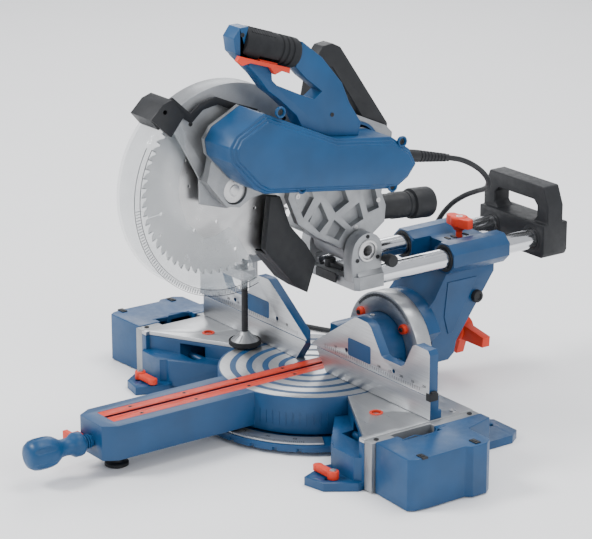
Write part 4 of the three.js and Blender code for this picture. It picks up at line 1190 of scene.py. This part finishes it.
class SAW_OT_turntable(SawOperator):
    """Finishes the turntable, its kerf inserts, lock handle, detent lever and front foot."""

    bl_idname = "saw.turntable"
    bl_label = "Turntable"

    def make(self, sizes, colours):
        refined("turntable", sizes.casting_edge, "turntable")
        front, rear = low("left_kerf_insert").y, high("left_kerf_insert").y
        for side, name in ((-1, "left"), (1, "right")):
            refined(f"{name}_kerf_insert", 0.25)
            screws(
                f"{name}_insert_screws", "turntable",
                [((side * 15, y, TABLE - 0.9), (0, 0, 1)) for y in (-300, -210, -120, -40)], 2.9, 1.4,
                0.45, "black_plastic",
            )
            bm = bmesh.new()
            prism(
                bm, "z",
                rounded(min(side * 6, side * 8), max(side * 6, side * 8), front + 12, rear - 10, 0.9, 3),
                TABLE - 0.3, TABLE + 0.15,
            )
            finished(f"{name}_insert_bead", bm, "turntable", "orange_plastic")
        # A black sheet deep in the kerf slot: painted shade, standing in for the dark of the well under the
        # inserts.
        bm = bmesh.new()
        block(bm, -8.8, 8.8, front + 9, rear - 8, TABLE - 14, TABLE - 13.2)
        finished("kerf_well_floor", bm, "turntable", "black_plastic")
        bm = bmesh.new()
        lock = (low("mitre_lock_knob") + high("mitre_lock_knob")) / 2
        start = (0, KNOB_BASE, lock.z)
        profile = [
            (0, -0.4), (14, -0.4), (16.4, 1.5), (17, 4), (17, 12), (14.6, 16), (12.4, 20), (12, 27),
            (12.6, 34), (16.4, 40), (19.6, 45), (21.4, 51), (22, 58), (22, 70), (20.8, 77), (17, 83),
            (11, 85.6), (0, 86),
        ]
        lathe(bm, start, (0, -1, 0), profile, 56)
        knob = finished("lock_handle", bm, "mitre_lock_knob", "blue_plastic", stands_for=["mitre_lock_knob"])
        tools = bmesh.new()
        for i in range(6):
            turn = math.radians(60 * i + 30)
            aim = Vector((math.cos(turn), 0, math.sin(turn)))
            cylinder(
                tools, Vector((0, KNOB_BASE - 44, lock.z)) + aim * 26,
                Vector((0, KNOB_BASE - 90, lock.z)) + aim * 23.5, 5.6, 24,
            )
        carved(knob, tools)
        bm = bmesh.new()
        cylinder(bm, (0, ARM_FRONT + 26, lock.z), (0, ARM_FRONT - 15.4, lock.z), 8, 40, 0.4)
        for i in range(3):
            y = ARM_FRONT - 4 - 3.6 * i
            lathe(
                bm, (0, y, lock.z), (0, -1, 0), [(7.5, 0), (10.2, 0.4), (10.2, 2.0), (7.5, 2.4)], 40,
                closed=True,
            )
        finished("lock_handle_shank", bm, "mitre_lock_knob", "blue_plastic")
        refined("detent_lever", 0.5 * sizes.plastic_edge, segments=3)
        foot = (low("front_foot") + high("front_foot")) / 2
        bm = bmesh.new()
        lathe(
            bm, (foot.x, foot.y, 0), (0, 0, 1),
            [
                (0, 0.4), (16, 0.4), (17, 1.4), (17, 5), (15.6, 6.4), (11, 7), (9.6, 9), (8.4, 20),
                (7, 27), (6.2, 36), (0, 36),
            ],
            48,
        )
        finished("levelling_foot", bm, "front_foot", "black_plastic", stands_for=["front_foot"])
        values = dict(
            Count=36, Radius=0.1350, First_Angle=195.0, Step_Angle=4.2, Length=0.0012, Width=0.0009,
            Height=0.02, Long_Every=50, Long_Factor=1.0,
        )
        grown("skirt_ribs", "ring", "turntable", "blue_paint", "blue_paint", at=moved(0, 0, 42), **values)
        bm = bmesh.new()
        prism(bm, "z", [(-3.2, -141.5), (3.2, -141.5), (0, -151)], 19.4, 20.2)
        finished("mitre_pointer", bm, "turntable", "orange_plastic")


class SAW_OT_bevel_pivot(SawOperator):
    """Finishes the bevel bearing, its scale and stops, the tilting column and the bevel lever."""

    bl_idname = "saw.bevel_pivot"
    bl_label = "Bevel pivot"

    def make(self, sizes, colours):
        edge = sizes.casting_edge
        refined("bevel_bracket", 1.4 * edge, segments=3)
        refined("bevel_scale", 0.8 * edge)
        refined("tilt_column", 1.6 * edge, segments=3)
        refined("bevel_lever", 1.1 * sizes.plastic_edge, segments=3)
        centre = joint_at("bevel")
        face = low("bevel_scale").y
        turn = Matrix.Rotation(math.radians(90), 4, "X")
        values = dict(
            Count=97, Radius=0.0785, First_Angle=42.0, Step_Angle=1.0, Length=0.0042, Width=0.0005,
            Height=0.0004, Long_Every=5, Long_Factor=1.6,
        )
        at = Matrix.Translation(Vector((centre.x, face, centre.z)) * MM) @ turn
        grown("bevel_graduations", "ring", "turntable", "black_plastic", "ink", at=at, **values)
        bm = bmesh.new()
        for angle in (40, 140):
            a, b = polar((centre.x, centre.z), 66, angle)
            lathe(bm, (a, face + 1, b), (0, -1, 0), [(0, 0), (7.5, 0), (7.5, 6), (6.4, 7.4), (0, 7.4)], 32)
        finished("bevel_stops", bm, "turntable", "orange_plastic")
        screws(
            "bevel_stop_pins", "turntable",
            [
                (
                    (
                        *polar((centre.x, centre.z), 66, a)[:1], face - 7.4,
                        polar((centre.x, centre.z), 66, a)[1],
                    ),
                    (0, -1, 0),
                )
                for a in (40, 140)
            ],
            3.2, 2.4, material="black_plastic",
        )
        screws("bracket_screws", "turntable", [((0, 112, TABLE + 54.2), (0, 0, 1))], 3.6, 1.6)
        bm = bmesh.new()
        lathe(
            bm, (50, 267, 141), (1, 0, 0),
            [(0, 0), (9.6, 0), (9.6, 5), (8.4, 6.6), (5, 7), (4.6, 5.6), (0, 5.6)], 40,
        )
        finished("column_bumper", bm, "tilt", "black_plastic")
        bm = bmesh.new()
        for side in (-1, 1):
            outline = [(212, 172), (206, 120), (214, 92), (222, 92), (262, 160), (268, 172)]
            prism(bm, "x", outline, side * 50.1, side * 51.4)
        finished("column_panels", bm, "tilt", "blue_paint", edge=0.6)


class SAW_OT_slide(SawOperator):
    """Finishes the rail housing, the rails, the slide lock and the rear handle."""

    bl_idname = "saw.slide"
    bl_label = "Slide"

    def make(self, sizes, colours):
        refined("slide_housing", 1.3 * sizes.casting_edge, segments=3)
        lo, hi = low("slide_housing"), high("slide_housing")
        for side, name in ((-1, "left"), (1, "right")):
            x = side * RAIL_X
            bm = bmesh.new()
            cylinder(
                bm, (x, low(f"{name}_rail").y, RAIL_Z), (x, high(f"{name}_rail").y, RAIL_Z), RAIL_RADIUS,
                72, 0.8,
            )
            finished(f"{name}_rail_bar", bm, "carriage", "chrome", stands_for=[f"{name}_rail"])
            bm = bmesh.new()
            for y, way in ((lo.y + (4 if side > 0 else 0), -1), (hi.y, 1)):
                profile = [
                    (RAIL_RADIUS + 0.5, -3), (20.5, -3), (20.5, 0.2), (20.0, 0.5),
                    (RAIL_RADIUS + 1.2, 0.5), (RAIL_RADIUS + 0.5, 0.2),
                ]
                lathe(bm, (x, y, RAIL_Z), (0, way, 0), profile, 56, closed=True)
            finished(f"{name}_rail_wipers", bm, "tilt", "black_plastic")
            bm = bmesh.new()
            lathe(
                bm, (x, low("rear_handle").y, RAIL_Z), (0, -1, 0),
                [(RAIL_RADIUS + 0.4, -3), (21, -3), (21, 0.2), (20.4, 0.5), (RAIL_RADIUS + 0.4, 0.5)], 56,
                closed=True,
            )
            finished(f"{name}_rail_collar", bm, "carriage", "black_plastic")
        # Black blocks on the housing's top: painted shade, standing for the dark insides of its slots.
        bm = bmesh.new()
        for y in (228, 240, 262):
            block(bm, 20, 31, y, y + 5, high("slide_housing").z - 1.2, high("slide_housing").z + 0.5)
        finished("housing_slots", bm, "tilt", "black_plastic", edge=0.4)
        lo, hi = low("slide_lock_knob"), high("slide_lock_knob")
        x, y = (lo.x + hi.x) / 2, (lo.y + hi.y) / 2
        bm = bmesh.new()
        lathe(
            bm, (x, y, 0), (0, 0, 1),
            [
                (0, lo.z), (5, lo.z), (5, 229), (8, 230), (10, 234), (13, 237), (13.6, 240), (13.6, 249),
                (11, 251), (0, 251),
            ],
            48,
        )
        for side in (-1, 1):
            outline = [
                (x + side * 8, y - 10), (x + side * 20, y - 8), (x + side * 25.4, y - 4.5),
                (x + side * 25.8, y + 3), (x + side * 22, y + 8), (x + side * 8, y + 10),
            ]
            prism(bm, "z", outline, 236, 250)
        finished(
            "slide_wing_knob", bm, "slide_lock_knob", "orange_plastic", edge=1.2, segments=3,
            stands_for=["slide_lock_knob"],
        )
        screws("slide_knob_cap", "slide_lock_knob", [((x, y, 250.4), (0, 0, 1))], 5.0, 1.4)
        refined("rear_handle", 2.0 * sizes.plastic_edge, segments=3)
        screws(
            "rear_handle_screws", "carriage",
            [((side * RAIL_X, high("rear_handle").y - 0.2, RAIL_Z), (0, 1, 0)) for side in (-1, 1)], 7,
            2.2,
        )


class SAW_OT_carriage(SawOperator):
    """Finishes the carriage block, hinge shaft, depth stop and transport lock."""

    bl_idname = "saw.carriage"
    bl_label = "Carriage"

    def make(self, sizes, colours):
        refined("carriage_block", sizes.casting_edge)
        refined("hinge_shaft", 0.5)
        refined("depth_stop", 0.6)
        refined("lock_pin", 0.8, segments=3)
        places = [
            ((side * 60.4, CHOP.y + dy, CHOP.z + dz), (side, 0, 0))
            for side in (-1, 1)
            for dy, dz in ((0, 21), (18, -12), (-18, -12))
        ]
        screws("ear_screws", "carriage", places, 3.0, 1.2, material="black_plastic")
        bm = bmesh.new()
        for side in (-1, 1):
            lathe(
                bm, (side * 60, CHOP.y, CHOP.z), (side, 0, 0),
                [(12.6, 0), (16.5, 0), (16.5, 1.6), (15.6, 2.4), (12.6, 2.4)], 48, closed=True,
            )
        finished("hinge_washers", bm, "carriage", "steel")
        bm = bmesh.new()
        prism(
            bm, "y", rounded(-24, 24, low("carriage_block").z + 3, low("carriage_block").z + 17, 3),
            low("carriage_block").y - 1.2, low("carriage_block").y + 1,
        )
        finished("carriage_front_pad", bm, "carriage", "black_plastic", edge=0.4)


class SAW_OT_head_castings(SawOperator):
    """Finishes the head's arm, gear case, chute and dust port."""

    bl_idname = "saw.head_castings"
    bl_label = "Head castings"

    def make(self, sizes, colours):
        edge = sizes.casting_edge
        refined("head_arm", edge)
        refined("gear_case", 1.2 * edge, segments=3)
        refined("dust_chute", 0.5 * sizes.plastic_edge)
        start, end = Vector((0, 102, 292.8)), Vector((0, 213, 283.9))
        along = end - start
        length = along.length
        bm = bmesh.new()
        profile = [
            (16.4, 6), (18.4, 6), (
                18.4, 40,
            ), (19.6, 42), (19.6, 62), (18.6, 63), (18.6, 66), (19.6, 67), (19.6, 70),
            (18.6, 71), (18.6, 74), (22.2, 76), (22.8, 78), (
                22.8, length - 3,
            ), (21.6, length), (18.4, length),
            (17.6, length - 3), (17.6, 50), (16.4, 40),
        ]
        lathe(bm, start, along, profile, 64, closed=True)
        finished("dust_spout", bm, "head", "black_plastic", stands_for=["dust_port"])
        bm = bmesh.new()
        cylinder(bm, Vector((0, 0, 0)) + start, start + along * 0.6, 15.6, 40, 0.6)
        finished("spout_shadow", bm, "head", "black_plastic")
        places = [
            ((36.2, y, z), (1, 0, 0))
            for y, z in ((-50, 345), (-20, 352), (92, 316), (96, 360), (52, 282))
        ]
        screws("arm_screws", "head", places, 3.6, 1.2)
        bm = bmesh.new()
        for radius, x in ((17.6, 26.0), (12.4, 26.9)):
            lathe(
                bm, (x, ARBOR.y, ARBOR.z), (1, 0, 0),
                [(radius - 3, 0), (radius, 0), (radius, 1.1), (radius - 0.8, 1.7), (radius - 3, 1.7)], 56,
                closed=True,
            )
        finished("bearing_rings", bm, "head", "machined_aluminium")


class SAW_OT_covers(SawOperator):
    """Finishes the belt cover with its raised panel, its screws and the drive inside."""

    bl_idname = "saw.covers"
    bl_label = "Covers"

    def make(self, sizes, colours):
        refined("belt_cover", 1.1 * sizes.plastic_edge, segments=3)
        for node in ("drive_belt", "layshaft", "motor_rotor"):
            dress(node)
        bm = bmesh.new()
        panel = [(-158, 460), (-135, 435), (74, 406), (88, 385), (68, 362), (-128, 392), (-168, 428)]
        skin(bm, [[(COVER_X - 1.5, *p) for p in panel], [(COVER_X - 0.1, *p) for p in grow(panel, -1.6)]])
        finished("cover_panel", bm, "head", "blue_plastic", edge=0.4, segments=2)
        wells = [(-130, 492), (78, 419), (62, 357), (-94, 381)]
        bm = bmesh.new()
        for y, z in wells:
            lathe(
                bm, (COVER_RECESS, y, z), (1, 0, 0),
                [(4.6, 0), (7.4, 0), (8.2, 3.4), (7.4, 4.6), (5.6, 4.6), (4.6, 3.2)], 32, closed=True,
            )
        finished("cover_screw_wells", bm, "head", "blue_plastic")
        screws(
            "cover_screws", "head", [((COVER_X - 6.9, y, z), (1, 0, 0)) for y, z in wells], 4.4, 1.2,
            material="black_plastic",
        )


class SAW_OT_motor(SawOperator):
    """Finishes the motor's shell with its vents and end cap."""

    bl_idname = "saw.motor"
    bl_label = "Motor"

    def make(self, sizes, colours):
        lo, hi = low("motor_shell"), high("motor_shell")
        y, z, radius = (lo.y + hi.y) / 2, (lo.z + hi.z) / 2, (hi.y - lo.y) / 2
        bm = bmesh.new()
        r = radius
        profile = [
            (r - 9, 0), (
                r - 8, -0.0,
            ), (r - 2, 8), (r, 11), (r, 40), (r - 0.9, 41), (r - 0.9, 44), (r, 45), (r, 84),
            (r, 159), (r - 4, 159), (r - 4, 12), (r - 10, 4), (r - 22, 4), (r - 22, 0),
        ]
        lathe(bm, (lo.x, y, z), (1, 0, 0), profile, 96, closed=True)
        shell = finished("motor_housing", bm, "head", "blue_plastic", stands_for=["motor_shell"])
        tools = bmesh.new()
        for i in range(sizes.vent_slots):
            turn = 2 * math.pi * i / sizes.vent_slots
            aim, across = Vector((0, math.cos(turn), math.sin(turn))), Vector(
                (0, -math.sin(turn), math.cos(turn))
            )
            middle = Vector((0, y, z))
            rings = []
            for out in (r - 6, r + 3):
                flat = [(lo.x + 16, -1.6), (lo.x + 34, -1.6), (lo.x + 34, 1.6), (lo.x + 16, 1.6)]
                rings.append([middle + aim * out + across * b + Vector((a, 0, 0)) for a, b in flat])
            skin(tools, rings)
        carved(shell, tools)
        bm = bmesh.new()
        lathe(bm, (lo.x + 3, y, z), (1, 0, 0), [(0, 0), (r - 22.3, 0), (r - 22.3, 3), (0, 3)], 56)
        for i in range(7):
            block(bm, lo.x + 1.6, lo.x + 4.4, y - 15, y + 15, z - 13.4 + 4 * i, z - 11.4 + 4 * i)
        finished("motor_grille", bm, "head", "black_plastic")
        bm = bmesh.new()
        for way in (-1, 1):
            lathe(
                bm, (lo.x + 60, y, z), (0, way, 0),
                [(0, r - 3), (8, r - 3), (8, r - 0.5), (7, r - 0.05), (0, r - 0.05)], 32,
            )
        finished("brush_caps", bm, "head", "black_plastic")


class SAW_OT_handles(SawOperator):
    """Finishes the D-handle with its rubber grip and trigger, and the carrying handle."""

    bl_idname = "saw.handles"
    bl_label = "Handles"

    def make(self, sizes, colours):
        refined("d_handle", 2.6 * sizes.plastic_edge, segments=4)
        front, rear = Vector((75, -174, 590)), Vector((75, -86, 561))
        along = rear - front
        length = along.length
        bm = bmesh.new()
        profile = [(12.5, GAP), (18.6, GAP), (20.2, 2.2), (20.9, 8), (21, length * 0.55)]
        for i in range(3):
            at = length * 0.62 + i * 9
            profile += [(21, at), (19.4, at + 1.2), (19.4, at + 3.2), (21, at + 4.4)]
        profile += [(20.8, length - 3), (19.4, length - GAP), (12.5, length - GAP)]
        lathe(bm, front, along, profile, 64, closed=True)
        sleeve = finished("rubber_grip", bm, "head", "grip_rubber", stands_for=["grip_sleeve"])
        tools = bmesh.new()
        down = along.normalized().cross(Vector((1, 0, 0)))
        if down.z > 0:
            down = -down
        ahead = along.normalized()
        corners = [(28, 13.5), (62, 13.5), (62, 26), (28, 26)]
        skin(
            tools,
            [
                [
                    Vector((x, 0, 0)) + Vector((0, front.y, front.z)) + ahead * a + down * b
                    for a, b in corners
                ]
                for x in (67, 108)
            ],
        )
        carved(sleeve, tools)
        bm = bmesh.new()
        for i in range(sizes.grip_ribs):
            at = 8 + i * 4.6
            for turn in (60, 95):
                w = math.radians(turn)
                spot = front + ahead * at - down * (20.6 * math.sin(w)) + Vector((20.6 * math.cos(w), 0, 0))
                out = (-down * math.sin(w) + Vector((math.cos(w), 0, 0))).normalized()
                side = out.cross(ahead)
                flat = [(-1.2, -5.4), (1.2, -5.4), (1.2, 5.4), (-1.2, 5.4)]
                skin(bm, [[spot + ahead * a + side * b + out * h for a, b in flat] for h in (-0.4, 0.55)])
        finished("grip_ribs", bm, "head", "grip_rubber", edge=0.2)
        refined("trigger", 0.9 * sizes.plastic_edge, segments=3)
        refined("carry_handle", 2.0 * sizes.plastic_edge, segments=3)
        screws(
            "handle_screws", "head", [((88.2, y, z), (1, 0, 0)) for y, z in ((-178, 600), (-30, 470))],
            3.0, 1.0, material="black_plastic",
        )


class SAW_OT_guards(SawOperator):
    """Finishes the fixed guard, the clear swinging guard and the guard's stop."""

    bl_idname = "saw.guards"
    bl_label = "Guards"

    def make(self, sizes, colours):
        refined("upper_guard", 0.8)
        refined("lower_guard", 0.5, segments=2)
        stop = refined("guard_stop", 1.0, segments=2)
        tools = bmesh.new()
        y, z = polar((ARBOR.y, ARBOR.z), 166, 131)
        cylinder(tools, (-30, y, z), (60, y, z), 3.2, 24)
        corner = [
            polar((ARBOR.y, ARBOR.z), r, a)
            for r, a in ((169, 122), (184, 122), (184, 131), (178, 131))
        ]
        prism(tools, "x", corner, -40, 60)
        carved(stop, tools)
        values = dict(
            Count=58, Radius=0.1484, First_Angle=183.0, Step_Angle=1.65, Length=0.0064, Width=0.0011,
            Height=0.0009, Long_Every=200, Long_Factor=1.0,
        )
        side = about_x((high("lower_guard").x + 0.3, ARBOR.y, ARBOR.z))
        grown("guard_rim_ribs", "ring", "lower_guard", "clear_plastic", "cast_aluminium", at=side, **values)
        # Two rings of thin black bars on the clear guard: painted shade where the guard's edges look dark.
        for name, radius in (("outer", 0.1528), ("inner", 0.1440)):
            values = dict(
                Count=116, Radius=radius, First_Angle=150.0, Step_Angle=1.2, Length=0.0006, Width=0.0032,
                Height=0.0009, Long_Every=900, Long_Factor=1.0,
            )
            grown(
                f"guard_{name}_line", "ring", "lower_guard", "clear_plastic", "black_plastic", at=side,
                **values
            )
        screws(
            "guard_screws", "head", [((17.4, y, z), (1, 0, 0)) for y, z in ((-60, 455), (-215, 470))],
            3.0, 1.2, material="black_plastic",
        )
        screws(
            "guard_pivot_screws", "lower_guard",
            [
                ((low("lower_guard").x - 0.3, *polar((ARBOR.y, ARBOR.z), 26, a)), (-1, 0, 0))
                for a in (0, 120, 240)
            ],
            2.6, 1.2,
        )
        screws("stop_screw", "head", [((high("guard_stop").x - 0.2, -116, 472), (1, 0, 0))], 4.0, 1.6)


class SAW_OT_blade(SawOperator):
    """Cuts the blade with its teeth, carbide tips and expansion slots, and sets it on its arbor."""

    bl_idname = "saw.blade"
    bl_label = "Blade"

    def make(self, sizes, colours):
        centre = (ARBOR.y, ARBOR.z)
        pitch = 360 / sizes.teeth
        tooth = (
            (0.0, 7.8), (0.14, 7.0), (0.36, 3.0), (0.60, 1.3), (0.85, 0.3), (0.87, 4.0), (0.89, 7.0),
            (0.95, 8.0),
        )
        outline = [
            polar(centre, BLADE_RADIUS - drop, (i + share) * pitch)
            for i in range(sizes.teeth)
            for share, drop in tooth
        ]
        bm = bmesh.new()
        prism(bm, "x", outline, -PLATE_HALF, PLATE_HALF)
        plate = finished("blade_plate", bm, "spindle", "steel", "blade_steel", stands_for=["saw_blade"])
        tools = bmesh.new()
        for i in range(4):
            turn = i * 90 + 13
            rings = [
                polar(centre, BLADE_RADIUS - drop, turn + lean)
                for drop, lean in ((4, -0.25), (26, 1.2), (26, 1.7), (4, 0.25))
            ]
            prism(tools, "x", rings, -3, 3)
            y, z = polar(centre, BLADE_RADIUS - 27, turn + 1.45)
            cylinder(tools, (-3.2, y, z), (3.2, y, z), 2.8, 24)
            for reach, spin in ((72, 40), (52, 70)):
                y, z = polar(centre, reach, turn + spin)
                cylinder(tools, (-3.2, y, z), (3.2, y, z), 2.4, 20)
        cylinder(tools, (-3.4, *centre), (3.4, *centre), 8.4, 40)
        carved(plate, tools)
        values = dict(
            Count=sizes.teeth, Radius=(BLADE_RADIUS - 2.6) * MM, First_Angle=pitch * 0.8,
            Step_Angle=pitch, Length=0.0050, Width=0.0017, Height=0.0022, Long_Every=1000,
            Long_Factor=1.0,
        )
        grown("carbide_tips", "ring", "spindle", "steel", "carbide", at=about_x(ARBOR), **values)
        refined("arbor", 0.5)


OPERATORS = [
    SAW_OT_stage,
    SAW_OT_mains_lead,
    SAW_OT_base,
    SAW_OT_end_blocks,
    SAW_OT_fences,
    SAW_OT_work_clamp,
    SAW_OT_turntable,
    SAW_OT_bevel_pivot,
    SAW_OT_slide,
    SAW_OT_carriage,
    SAW_OT_head_castings,
    SAW_OT_covers,
    SAW_OT_motor,
    SAW_OT_handles,
    SAW_OT_guards,
    SAW_OT_blade,
]


class SAW_PT_panel(bpy.types.Panel):
    """Lists the saw's sizes, colours and operators in the sidebar."""

    bl_idname = "SAW_PT_panel"
    bl_label = "Mitre saw"
    bl_space_type = "VIEW_3D"
    bl_region_type = "UI"
    bl_category = "Mitre saw"

    def draw(self, context):
        for group in (context.scene.saw_sizes, context.scene.saw_colours):
            for key in type(group).__annotations__:
                self.layout.prop(group, key)
        for maker in OPERATORS:
            self.layout.operator(maker.bl_idname)


CLASSES = [SawSizes, SawColours, *OPERATORS, SAW_PT_panel]


def register():
    for item in CLASSES:
        bpy.utils.register_class(item)
    bpy.types.Scene.saw_sizes = PointerProperty(type=SawSizes)
    bpy.types.Scene.saw_colours = PointerProperty(type=SawColours)


def unregister():
    del bpy.types.Scene.saw_colours
    del bpy.types.Scene.saw_sizes
    for item in reversed(CLASSES):
        bpy.utils.unregister_class(item)


def main():
    """Makes the whole saw, one operator after another."""
    register()
    for maker in OPERATORS:
        group, name = maker.bl_idname.split(".")
        getattr(getattr(bpy.ops, group), name)()


if __name__ == "__main__":
    main()
